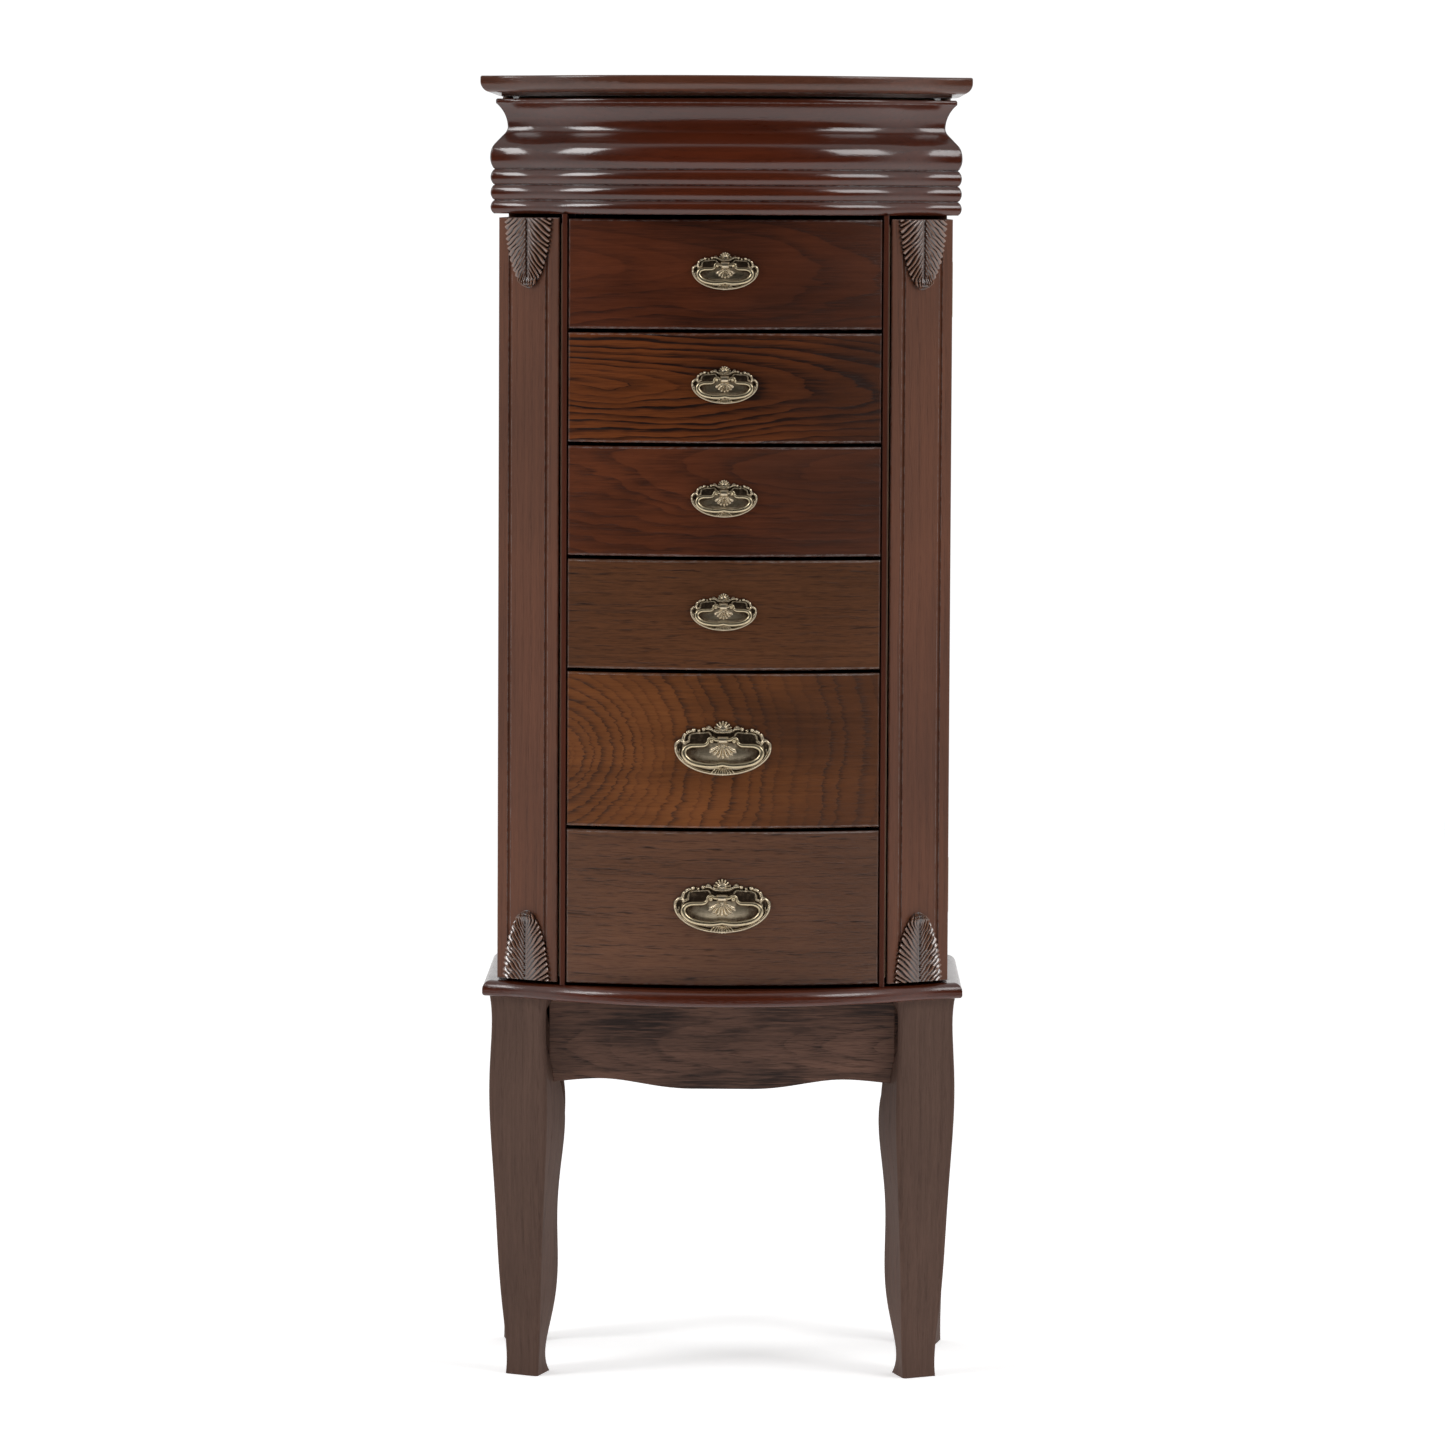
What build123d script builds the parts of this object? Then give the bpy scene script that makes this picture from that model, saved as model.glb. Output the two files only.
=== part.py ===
"""Bow-front jewelry armoire: six drawers, two swing-out necklace doors and a lift-up lid.

Millimetres, +Z up, front towards -Y. The origin is on the floor, at the middle of the overall box.
Bodies: cabinet (root), lid, door_left, door_right, drawer_1 to drawer_6 and bail_1 to bail_6.
"""
from build123d import *
import math
import os

os.makedirs("parts", exist_ok=True)

# --- Driving dimensions --------------------------------------------------------------------
total_height = 1016.0
back_y = 140.0            # rear face of the case, the base board and the lid

# The serpentine plan that the base board, the crown and the lid share
base_half_width = 187.7   # widest point of the base board, from the middle plane
base_front_y = -142.1     # foremost point of the base board
bow_radius = 240.0        # convex middle of the front
bow_angle = 38.0          # half angle of the convex middle
return_radius = 124.6     # concave return to each corner
lid_offset = 2.9          # the lid stands this far outside the base board's plan

# Heights of the horizontal layers
base_bottom_z = 299.5
base_top_z = 311.5
base_top_round = 7.0
base_bottom_round = 2.5
door_bottom_z = 313.7
door_top_z = 906.5
case_top_z = 909.5        # underside of the crown
tray_floor_z = 921.5
crown_top_z = 998.5
lid_bottom_z = 1000.3
lid_plate_z = 1003.1

# Lid
lid_rim_offset = -13.0    # the thin layer under the lid's plate stands this far inside the plan
lid_under_round = 8.5
lid_top_round = 1.5

# Aprons: half length, then the height of the lower edge at its ends, arches and middle lobe
front_apron_shape = (135.0, 231.7, 234.8, 227.0)
back_apron_shape = (141.0, 236.0, 239.0, 231.0)
side_apron_shape = (66.0, 236.0, 239.0, 231.0)
front_apron_y = -68.0
front_apron_thickness = 15.0
back_apron_y = 117.0
side_apron_x = 163.0
side_apron_mid_y = 33.0
apron_thickness = 12.0
arch_share = 0.68         # place of each arch and lobe end, as a share of the half length
lobe_share = 0.17
leg_edge_round = 2.5

# Case
side_inner_x = 116.0
side_lip_x = 122.0
side_outer_x = 126.0
side_front_y = -101.5
side_rebate_y = -91.5
back_board = 12.0
crown_inner_offset = -26.0
lip_round = 0.8

# Doors, each a side panel with a canted pilaster
door_outer_x = 176.0
door_thickness = 9.0
pilaster_thickness = 10.0
pilaster_outer_y = -67.0
pilaster_inner_x = 128.0
pilaster_inner_y = -98.0
door_back_y = 126.2
groove_radius = 1.4
groove_from_outer = 10.7
groove_from_inner = 11.9
leaf_length = 54.0
leaf_half_width = 20.5
leaf_thickness = 4.0
leaf_waist = (0.82, 0.5)  # share of the leaf's half width, and of its length
leaf_neck = (0.4, 0.9)
leaf_end_gap = 0.5
door_front_round = 1.0

# Drawers
drawer_half_width = 120.8
drawer_front_y = -122.0
drawer_bow_radius = 362.0
drawer_back_face_y = -92.0
drawer_stack_bottom = 314.0
drawer_gap = 3.0
small_height = 84.5
large_height = 119.5
drawer_heights = [small_height] * 4 + [large_height] * 2
box_half_width = 113.0
box_back_y = 118.0
box_wall = 6.0
box_floor = 4.0
box_lift = 8.0            # box underside above the bottom of its front
box_drop = 14.0           # box rim below the top of its front
runner_height = 5.5
runner_width = 10.0
runner_front_y = -88.0
runner_back_y = 124.0
runner_gap = 0.3
drawer_front_round = 1.2

# Pulls: a backplate with a hinge lug, and a bail that swings on it
large_pull_half = (38.0, 22.0)
small_pull_half = (26.0, 16.0)
plate_sunk = 4.0          # the plate's flat back, behind the foremost point of the front
plate_thickness = 6.6
lug_half_width = 4.2
lug_height = 9.0
lug_round = 2.6
lug_ahead = 3.4           # lug in front of the pin's centre
pin_rise = 0.28           # pin above the plate's centre, as a share of the plate's half height
pull_rise = 3.0           # plate centre above the middle of the drawer front
pull_depth = 7.0          # hinge pin in front of the drawer front
bail_pin_radius = 1.2
pin_clearance = 0.05
screw_radius = 1.8
screw_hole_radius = 2.0
screw_head_radius = 4.0
screw_head_depth = 2.5

# Bail centre line on a large pull, from the pin: across, and up or down
bail_arm_start = (11.5, 0.0)
bail_arm_end = (14.5, -5.0)
bail_reach = 28.4
bail_low = -19.6
bail_tight_round = 1.6
bail_end_round = 7.0
bail_wire_base = 1.15
bail_wire_growth = 0.75   # added to the wire's radius on a large pull
bail_arm_gap = 0.4

# Butt hinges
knuckle_radius = 2.3
hinge_pin_radius = 1.0
leaf_gap = 0.1
hinge_leaf = 0.8
hinge_length = 44.0
hinge_width = 10.7
knuckle_half = 7.5
knuckle_gap = 0.3
plain_leaf_gap = 0.35
leaf_overlap = 1.0
door_hinge_x = door_outer_x + 2.7
door_hinge_y = door_back_y + leaf_gap + hinge_leaf
door_hinge_z = [370.0, 850.0]
lid_hinge_y = back_y + 2.7
lid_hinge_z = crown_top_z + leaf_gap + hinge_leaf
lid_hinge_x = [-110.0, 110.0]

# --- The shared serpentine plan ------------------------------------------------------------
bow_centre_y = base_front_y + bow_radius
return_reach = bow_radius + return_radius
return_centre_x = return_reach * math.sin(math.radians(bow_angle))
return_centre_y = bow_centre_y - return_reach * math.cos(math.radians(bow_angle))


def bow_point(offset, angle):
    """Point of the convex middle, at a plan angle from the middle plane."""
    radius = bow_radius + offset
    turn = math.radians(angle)
    return (radius * math.sin(turn), bow_centre_y - radius * math.cos(turn))


def return_point(offset, angle):
    """Point of the right concave return, at a plan angle about its own centre."""
    radius = return_radius - offset
    turn = math.radians(angle)
    return (return_centre_x - radius * math.sin(turn), return_centre_y + radius * math.cos(turn))


def corner_angle(offset):
    """Plan angle at which the concave return meets the side."""
    reach = return_centre_x - (base_half_width + offset)
    return math.degrees(math.asin(reach / (return_radius - offset)))


def flip(point):
    """The same point on the left side."""
    return (-point[0], point[1])


def plan_edges(offset, rear_y):
    """Closed plan outline, standing outside the base board's plan by the offset."""
    corner = return_point(offset, corner_angle(offset))
    joint = bow_point(offset, bow_angle)
    middle = return_point(offset, (bow_angle + corner_angle(offset)) / 2)
    rear = (corner[0], rear_y)
    with BuildLine() as outline:
        ThreePointArc(flip(joint), bow_point(offset, 0), joint)
        ThreePointArc(joint, middle, corner)
        Polyline(corner, rear, flip(rear), flip(corner))
        ThreePointArc(flip(corner), flip(middle), flip(joint))
    return outline.edges()


def save(piece, node):
    """Label a finished piece and write it to its own STEP file."""
    piece.part.label = node
    export_step(piece.part, f"parts/{node}.step")


def save_pair(right, node):
    """Write a right-hand piece and its mirror image."""
    save(right, f"{node}_right")
    with BuildPart() as left:
        mirror(right.part, about=Plane.YZ)
    save(left, f"{node}_left")


def block(low, high):
    """A plain board between two corners, as a part for other builders to add."""
    size = [high[i] - low[i] for i in range(3)]
    with BuildPart() as board:
        with BuildSketch(Plane.XY.offset(low[2])):
            with Locations(((low[0] + high[0]) / 2, (low[1] + high[1]) / 2)):
                Rectangle(size[0], size[1])
        extrude(amount=size[2])
    return board.part


def not_rear(edge):
    """True for an edge that isn't on the flat rear."""
    return edge.center().Y < back_y - 1


# --- Base board: the moulding that the case stands on --------------------------------------
with BuildPart() as base_board:
    with BuildSketch(Plane.XY.offset(base_bottom_z)):
        make_face(plan_edges(0, back_y))
    extrude(amount=base_top_z - base_bottom_z)
    fillet(base_board.faces().sort_by(Axis.Z)[-1].edges().filter_by(not_rear), base_top_round)
    fillet(base_board.faces().sort_by(Axis.Z)[0].edges().filter_by(not_rear), base_bottom_round)
save(base_board, "base_board")

# --- Legs: four corners at each level, outer front, inner front, inner back, outer back -----
front_leg_levels = [
    (0.0, (169.0, -60.0), (143.7, -75.0), (134.4, -42.0), (165.5, -34.0)),
    (54.0, (172.0, -61.0), (142.0, -77.0), (130.5, -42.0), (169.0, -34.0)),
    (123.0, (176.9, -62.5), (140.0, -84.0), (128.4, -41.5), (174.0, -32.0)),
    (161.0, (179.2, -63.0), (138.3, -87.5), (126.0, -41.5), (177.5, -29.0)),
    (198.0, (181.6, -63.5), (137.2, -89.0), (122.5, -43.0), (181.0, -26.0)),
    (232.0, (182.3, -63.0), (137.2, -88.0), (127.0, -52.0), (181.5, -27.0)),
    (base_bottom_z, (182.3, -63.0), (137.2, -88.0), (127.0, -53.0), (181.5, -28.0)),
]
back_leg_levels = [
    (0.0, (172.5, 95.0), (143.0, 95.0), (148.0, 122.0), (177.5, 122.0)),
    (54.0, (173.0, 93.5), (138.0, 93.0), (145.5, 126.0), (178.5, 126.0)),
    (123.0, (174.5, 90.0), (132.0, 88.0), (142.5, 130.5), (180.5, 130.5)),
    (161.0, (176.0, 88.0), (129.0, 86.0), (141.0, 132.0), (181.3, 132.0)),
    (198.0, (178.0, 88.0), (126.0, 85.0), (140.0, 132.5), (182.0, 132.5)),
    (232.0, (180.0, 95.0), (132.0, 93.0), (140.0, 132.0), (182.3, 132.0)),
    (base_bottom_z, (180.0, 96.0), (132.0, 94.0), (140.0, 132.0), (182.3, 132.0)),
]


def leg(levels):
    """One curved leg, lofted through rounded four-sided sections."""
    with BuildPart() as shape:
        for z, outer_front, inner_front, inner_back, outer_back in levels:
            with BuildSketch(Plane.XY.offset(z)) as section:
                with BuildLine():
                    Polyline(outer_front, inner_front, inner_back, outer_back, close=True)
                make_face()
                fillet(section.vertices(), leg_edge_round)
        loft()
    return shape


leg_front = leg(front_leg_levels)
leg_back = leg(back_leg_levels)
save_pair(leg_front, "leg_front")
save_pair(leg_back, "leg_back")

# --- Aprons between the legs ---------------------------------------------------------------
with BuildPart() as all_legs:
    add(leg_front.part)
    add(leg_back.part)
    mirror(all_legs.part, about=Plane.YZ)


def apron(plane, half_length, end_z, arch_z, lobe_z, thickness):
    """Board with a scalloped lower edge: two arches and a flat lobe; the legs cut its ends."""
    with BuildPart() as shape:
        with BuildSketch(plane):
            with BuildLine():
                arch_x = half_length * arch_share
                lobe_x = half_length * lobe_share
                Spline((-half_length, end_z), (-arch_x, arch_z), (-lobe_x, lobe_z),
                       tangents=[(1, 0.1), (1, 0)])
                Line((-lobe_x, lobe_z), (lobe_x, lobe_z))
                Spline((lobe_x, lobe_z), (arch_x, arch_z), (half_length, end_z),
                       tangents=[(1, 0), (1, -0.1)])
                Polyline((half_length, end_z), (half_length, base_bottom_z),
                         (-half_length, base_bottom_z), (-half_length, end_z))
            make_face()
        extrude(amount=thickness)
        add(all_legs.part, mode=Mode.SUBTRACT)
    return shape


front_plane = Plane(origin=(0, front_apron_y, 0), x_dir=(-1, 0, 0), z_dir=(0, 1, 0))
save(apron(front_plane, *front_apron_shape, front_apron_thickness), "apron_front")
back_plane = Plane(origin=(0, back_apron_y, 0), x_dir=(-1, 0, 0), z_dir=(0, 1, 0))
save(apron(back_plane, *back_apron_shape, apron_thickness), "apron_back")
side_plane = Plane(origin=(side_apron_x, side_apron_mid_y, 0), x_dir=(0, 1, 0), z_dir=(1, 0, 0))
save_pair(apron(side_plane, *side_apron_shape, apron_thickness), "apron")

# --- Case: sides, back and top -------------------------------------------------------------
with BuildPart() as case_side:
    with BuildSketch(Plane.XY.offset(base_top_z)):
        with BuildLine():
            Polyline((side_inner_x, side_rebate_y), (side_lip_x, side_rebate_y),
                     (side_lip_x, side_front_y), (side_outer_x, side_front_y),
                     (side_outer_x, back_y - back_board), (side_inner_x, back_y - back_board),
                     close=True)
        make_face()
    extrude(amount=case_top_z - base_top_z)
    lip_edges = case_side.edges().filter_by(Axis.Z).sort_by(Axis.Y)[:2]
    fillet(lip_edges, lip_round)
save_pair(case_side, "case_side")

upper_half_width = base_half_width + crown_inner_offset
with BuildPart() as case_back:
    with BuildSketch(Plane.XZ.offset(-(back_y - back_board))):
        with BuildLine():
            Polyline((-door_outer_x, base_top_z), (door_outer_x, base_top_z),
                     (door_outer_x, case_top_z), (upper_half_width, case_top_z),
                     (upper_half_width, crown_top_z), (-upper_half_width, crown_top_z),
                     (-upper_half_width, case_top_z), (-door_outer_x, case_top_z), close=True)
        make_face()
    extrude(amount=-back_board)
save(case_back, "case_back")

with BuildPart() as case_top:
    with BuildSketch(Plane.XY.offset(case_top_z)):
        make_face(plan_edges(crown_inner_offset, back_y - back_board))
    extrude(amount=tray_floor_z - case_top_z)
save(case_top, "case_top")

# --- Crown moulding: cove, creased ovolo and three reeds, mitred at the front corners -------
# Half widths and heights of the section
crown_foot = 180.0
crown_top_round = 1.5
crown_top_bulge = 0.44    # how far the middle of the top round stays inside its corner
cove_top = (178.8, 995.0)
cove_middle = (171.9, 986.0)
cove_waist = (169.8, 977.0)
crease_middle = (170.45, 974.0)
crease_end = (172.2, 971.4)
slope_end = (178.9, 964.4)
ovolo_middle = (181.93, 959.86)
ovolo_nose = (183.0, 954.5)
ovolo_lower = (182.6, 949.2)
ovolo_end_z = 944.7
quirk_depth = 1.0         # the sharp groove between two reeds
quirk_drop = 0.5
last_reed_nose_z = 914.3
reed_tops = [943.3, 931.4, 919.4]
reed_pitch = 10.9
reed_root = 180.5
reed_nose = 182.7


def crown_edges(place):
    """Closed crown section; place turns a half width into the section's own x."""
    def at(half_width, z):
        return (place(half_width), z)

    with BuildLine() as outline:
        round_in = at(cove_top[0] - crown_top_round, crown_top_z)
        round_out = at(cove_top[0], crown_top_z - crown_top_round)
        Polyline(at(crown_foot, case_top_z), at(upper_half_width, case_top_z),
                 at(upper_half_width, crown_top_z), round_in)
        ThreePointArc(round_in, at(cove_top[0] - crown_top_bulge, crown_top_z - crown_top_bulge), round_out)
        Line(round_out, at(*cove_top))
        ThreePointArc(at(*cove_top), at(*cove_middle), at(*cove_waist))
        ThreePointArc(at(*cove_waist), at(*crease_middle), at(*crease_end))
        Line(at(*crease_end), at(*slope_end))
        ThreePointArc(at(*slope_end), at(*ovolo_middle), at(*ovolo_nose))
        ThreePointArc(at(*ovolo_nose), at(*ovolo_lower), at(reed_root, ovolo_end_z))
        quirk_z = (ovolo_end_z + reed_tops[0]) / 2
        Polyline(at(reed_root, ovolo_end_z), at(reed_root - quirk_depth, quirk_z),
                 at(reed_root, reed_tops[0]))
        for top in reed_tops[:2]:
            bottom = top - reed_pitch
            ThreePointArc(at(reed_root, top), at(reed_nose, top - reed_pitch / 2), at(reed_root, bottom))
            Polyline(at(reed_root, bottom), at(reed_root - quirk_depth, bottom - quirk_drop),
                     at(reed_root, bottom - 2 * quirk_drop))
        Line(at(reed_root, reed_tops[1] - reed_pitch - 2 * quirk_drop), at(reed_root, reed_tops[2]))
        ThreePointArc(at(reed_root, reed_tops[2]), at(reed_nose, last_reed_nose_z),
                      at(crown_foot, case_top_z))
    return outline.edges()


mitre_in = return_point(crown_inner_offset, corner_angle(crown_inner_offset))
mitre_out = return_point(0, corner_angle(0))
mitre_run = (mitre_out[0] - mitre_in[0], mitre_out[1] - mitre_in[1])
mitre_plane = Plane(origin=(*mitre_in, 0), x_dir=(*mitre_run, 0), z_dir=(-mitre_run[1], mitre_run[0], 0))
arm_end_angle = 8.0
arm_start = math.radians(arm_end_angle)
bow_plane = Plane(origin=(0, bow_centre_y, 0), x_dir=(0, -1, 0), z_dir=(-1, 0, 0))
arm_plane = Plane(origin=(return_centre_x, return_centre_y, 0),
                  x_dir=(-math.sin(arm_start), math.cos(arm_start), 0),
                  z_dir=(math.cos(arm_start), math.sin(arm_start), 0))

with BuildPart() as crown_front:
    with BuildSketch(bow_plane):
        make_face(crown_edges(lambda half: bow_radius + half - base_half_width))
    revolve(axis=Axis((0, bow_centre_y, 0), (0, 0, 1)), revolution_arc=bow_angle)
    with BuildSketch(arm_plane):
        make_face(crown_edges(lambda half: return_radius - half + base_half_width))
    revolve(axis=Axis((return_centre_x, return_centre_y, 0), (0, 0, 1)),
            revolution_arc=bow_angle - arm_end_angle)
    split(bisect_by=mitre_plane, keep=Keep.BOTTOM)
    mirror(about=Plane.YZ)
save(crown_front, "crown_front")

crown_side_plane = Plane(origin=(base_half_width, back_y, 0), x_dir=(1, 0, 0), z_dir=(0, -1, 0))
with BuildPart() as crown_side:
    with BuildSketch(crown_side_plane):
        make_face(crown_edges(lambda half: half - base_half_width))
    extrude(amount=back_y - base_front_y)
    split(bisect_by=mitre_plane, keep=Keep.TOP)
save_pair(crown_side, "crown")

# --- Lift-up lid with its mirror -----------------------------------------------------------
mirror_half_width = 112.0
mirror_front_y = -72.0
mirror_back_y = 100.0
mirror_top_z = 1003.9
mirror_fit = 0.3
mirror_thickness = 3.0
with BuildPart() as lid:
    with BuildSketch(Plane.XY.offset(lid_plate_z)):
        make_face(plan_edges(lid_offset, back_y))
    extrude(amount=total_height - lid_plate_z)
    fillet(lid.faces().sort_by(Axis.Z)[0].edges().filter_by(not_rear), lid_under_round)
    fillet(lid.faces().sort_by(Axis.Z)[-1].edges().filter_by(not_rear), lid_top_round)
    with BuildSketch(Plane.XY.offset(lid_bottom_z)):
        make_face(plan_edges(lid_rim_offset, back_y))
    extrude(amount=lid_plate_z - lid_bottom_z)
    add(block((-mirror_half_width, mirror_front_y, lid_bottom_z - 1),
              (mirror_half_width, mirror_back_y, mirror_top_z)), mode=Mode.SUBTRACT)
save(lid, "lid")

with BuildPart() as lid_mirror:
    with BuildSketch(Plane.XY.offset(mirror_top_z - mirror_thickness)):
        with Locations((0, (mirror_front_y + mirror_back_y) / 2)):
            Rectangle(2 * (mirror_half_width - mirror_fit), mirror_back_y - mirror_front_y - 2 * mirror_fit)
    extrude(amount=mirror_thickness)
save(lid_mirror, "lid_mirror")

bumper_spot = (170.0, -50.0)
bumper_radius = 4.0
with BuildPart() as felt_bumpers:
    with BuildSketch(Plane.XY.offset(crown_top_z)):
        with Locations(bumper_spot, flip(bumper_spot)):
            Circle(bumper_radius)
    extrude(amount=lid_bottom_z - crown_top_z)
save(felt_bumpers, "felt_bumpers")

# --- Tray under the lid: padded floor, ring rolls and dividers -----------------------------
tray_fit = 0.8
tray_offset = crown_inner_offset - tray_fit
tray_rear_y = back_y - back_board - tray_fit
pad_top_z = tray_floor_z + 6.0
divider_height = 34.0
divider_x = 76.0
divider_y = 22.0
divider_wall = 5.0
divider_reach = 400.0     # longer than the tray, which trims it
with BuildPart() as tray_lining:
    with BuildSketch(Plane.XY.offset(tray_floor_z)):
        make_face(plan_edges(tray_offset, tray_rear_y))
    extrude(amount=pad_top_z - tray_floor_z)
save(tray_lining, "tray_lining")

with BuildPart() as tray_dividers:
    with BuildSketch(Plane.XY.offset(pad_top_z)):
        make_face(plan_edges(tray_offset, tray_rear_y))
    extrude(amount=divider_height)
    with BuildSketch(Plane.XY.offset(pad_top_z)):
        with Locations((-divider_x, 0), (divider_x, 0)):
            Rectangle(divider_wall, divider_reach)
        with Locations((0, divider_y)):
            Rectangle(divider_reach, divider_wall)
    extrude(amount=divider_height, mode=Mode.INTERSECT)
save(tray_dividers, "tray_dividers")

roll_count = 8
roll_pitch = 13.0
roll_first_y = -83.0
roll_half_length = 71.5
roll_width = 11.6
roll_height = 12.4
roll_lift = 6.5           # roll centre above the pad
roll_round = 5.0
with BuildPart() as ring_rolls:
    with BuildSketch(Plane.YZ.offset(-roll_half_length)):
        for index in range(roll_count):
            with Locations((roll_first_y + index * roll_pitch, pad_top_z + roll_lift)):
                Rectangle(roll_width, roll_height)
    extrude(amount=2 * roll_half_length)
    fillet(ring_rolls.edges().filter_by(Axis.X).group_by(Axis.Z)[-1], roll_round)
save(ring_rolls, "ring_rolls")

# --- Doors: side panel and canted pilaster in one, with two vertical grooves ----------------
cant_run = door_outer_x - pilaster_inner_x
cant_drop = pilaster_outer_y - pilaster_inner_y
cant_length = math.hypot(cant_run, cant_drop)
cant_dir = (cant_run / cant_length, cant_drop / cant_length)      # inner edge to outer edge
cant_normal = (cant_dir[1], -cant_dir[0])                         # out of the canted face


def on_pilaster(distance, depth=0.0):
    """Plan point at a distance from the pilaster's inner edge, and a depth into it."""
    x = pilaster_inner_x + cant_dir[0] * distance - cant_normal[0] * depth
    y = pilaster_inner_y + cant_dir[1] * distance - cant_normal[1] * depth
    return (x, y)


def pilaster_back_y(x):
    """The pilaster's inner face, at a given x."""
    start = on_pilaster(0, pilaster_thickness)
    return start[1] + (x - start[0]) * cant_dir[1] / cant_dir[0]


panel_inner_x = door_outer_x - door_thickness
with BuildPart() as door:
    with BuildSketch(Plane.XY.offset(door_bottom_z)):
        with BuildLine():
            Polyline((door_outer_x, door_back_y), (door_outer_x, pilaster_outer_y),
                     (pilaster_inner_x, pilaster_inner_y),
                     (pilaster_inner_x, pilaster_back_y(pilaster_inner_x)),
                     (panel_inner_x, pilaster_back_y(panel_inner_x)),
                     (panel_inner_x, door_back_y), close=True)
        make_face()
        with Locations(on_pilaster(groove_from_inner), on_pilaster(cant_length - groove_from_outer)):
            Circle(groove_radius, mode=Mode.SUBTRACT)
    extrude(amount=door_top_z - door_bottom_z)
    front_edges = door.edges().filter_by(Axis.Z).filter_by(
        lambda edge: abs(edge.center().Y - pilaster_outer_y) < 0.1
        or abs(edge.center().Y - pilaster_inner_y) < 0.1)
    fillet(front_edges, door_front_round)
save_pair(door, "door")

leaf_plane = Plane(origin=(*on_pilaster(cant_length / 2), 0), x_dir=(*cant_dir, 0),
                   z_dir=(*cant_normal, 0))


def leaf_edges(root_z, way):
    """Leaf outline from its straight root to its round tip; way is -1 down or 1 up."""
    shoulder = (leaf_half_width, root_z)
    waist = (leaf_half_width * leaf_waist[0], root_z + way * leaf_length * leaf_waist[1])
    neck = (leaf_half_width * leaf_neck[0], root_z + way * leaf_length * leaf_neck[1])
    tip = (0, root_z + way * leaf_length)
    with BuildLine() as outline:
        Line(flip(shoulder), shoulder)
        ThreePointArc(shoulder, waist, neck)
        ThreePointArc(neck, tip, flip(neck))
        ThreePointArc(flip(neck), flip(waist), flip(shoulder))
    return outline.edges()


with BuildPart() as leaves:
    with BuildSketch(leaf_plane):
        make_face(leaf_edges(door_top_z - leaf_end_gap, -1))
        make_face(leaf_edges(door_bottom_z + leaf_end_gap, 1))
    extrude(amount=leaf_thickness)
save_pair(leaves, "leaves")

# --- Necklace hooks on the inside of each door ---------------------------------------------
hook_strip = 2.0
strip_half_height = 7.0
strip_end = 10.0          # strip beyond the first and last hook
hook_z = 876.0
hook_count = 6
hook_first_y = -35.0
hook_pitch = 28.0
hook_wire = 1.5
hook_bend = 2.2
hook_line = [(0, 0), (20, -5), (24, 6)]
hook_ys = [hook_first_y + hook_pitch * index for index in range(hook_count)]
with BuildPart() as hooks:
    add(block((panel_inner_x - hook_strip, hook_ys[0] - strip_end, hook_z - strip_half_height),
              (panel_inner_x, hook_ys[-1] + strip_end, hook_z + strip_half_height)))
    for y in hook_ys:
        root_x = panel_inner_x - hook_strip / 2
        with BuildLine(Plane(origin=(root_x, y, hook_z), x_dir=(-1, 0, 0), z_dir=(0, 1, 0))) as route:
            FilletPolyline(*hook_line, radius=hook_bend)
        with BuildSketch(Plane(origin=route.line @ 0, z_dir=route.line % 0)):
            Circle(hook_wire)
        sweep(path=route.line)
save_pair(hooks, "hooks")

# --- Magnetic door catches on the case sides -----------------------------------------------
catch_size = (11.0, 13.0, 26.0)
catch_low = (side_outer_x, -78.0, 600.0)
catch_round = 1.5
catch_high = tuple(catch_low[i] + catch_size[i] for i in range(3))
with BuildPart() as door_catches:
    add(block(catch_low, catch_high))
    fillet(door_catches.edges().filter_by(Axis.X), catch_round)
    mirror(about=Plane.YZ)
save(door_catches, "door_catches")

# --- Butt hinges: leaves that face each other across a thin gap, and their pins -------------
half_length = hinge_length / 2
fixed_spans = [(-half_length, -knuckle_half - knuckle_gap), (knuckle_half + knuckle_gap, half_length)]
moving_spans = [(-knuckle_half, knuckle_half)]
plain_start = knuckle_radius + plain_leaf_gap


def hinge_half(plane, spans, side):
    """One hinge leaf with its knuckles; side is -1 for the fixed leaf and 1 for the moving one."""
    middle = side * (leaf_gap + hinge_leaf / 2)
    with BuildPart() as half:
        with BuildSketch(plane.offset(-half_length)):
            with Locations(((plain_start + hinge_width) / 2, middle)):
                Rectangle(hinge_width - plain_start, hinge_leaf)
        extrude(amount=hinge_length)
        for start, end in spans:
            with BuildSketch(plane.offset(start)):
                Circle(knuckle_radius)
                with Locations(((plain_start + leaf_overlap) / 2, middle)):
                    Rectangle(plain_start + leaf_overlap, hinge_leaf)
                Circle(hinge_pin_radius + pin_clearance, mode=Mode.SUBTRACT)
            extrude(amount=end - start)
    return half.part


def hinge_pin(plane):
    """The pin of one hinge, as long as its knuckles."""
    with BuildPart() as pin:
        with BuildSketch(plane.offset(-half_length)):
            Circle(hinge_pin_radius)
        extrude(amount=hinge_length)
    return pin.part


right_planes = [Plane(origin=(door_hinge_x, door_hinge_y, z), x_dir=(-1, 0, 0), z_dir=(0, 0, 1))
                for z in door_hinge_z]
left_planes = [Plane(origin=(-door_hinge_x, door_hinge_y, z), x_dir=(1, 0, 0), z_dir=(0, 0, -1))
               for z in door_hinge_z]
lid_planes = [Plane(origin=(x, lid_hinge_y, lid_hinge_z), x_dir=(0, -1, 0), z_dir=(-1, 0, 0))
              for x in lid_hinge_x]

with BuildPart() as hinge_leaves_fixed:
    for plane in right_planes + left_planes + lid_planes:
        add(hinge_half(plane, fixed_spans, -1))
save(hinge_leaves_fixed, "hinge_leaves_fixed")

with BuildPart() as hinge_pins:
    for plane in right_planes + left_planes + lid_planes:
        add(hinge_pin(plane))
save(hinge_pins, "hinge_pins")

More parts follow.
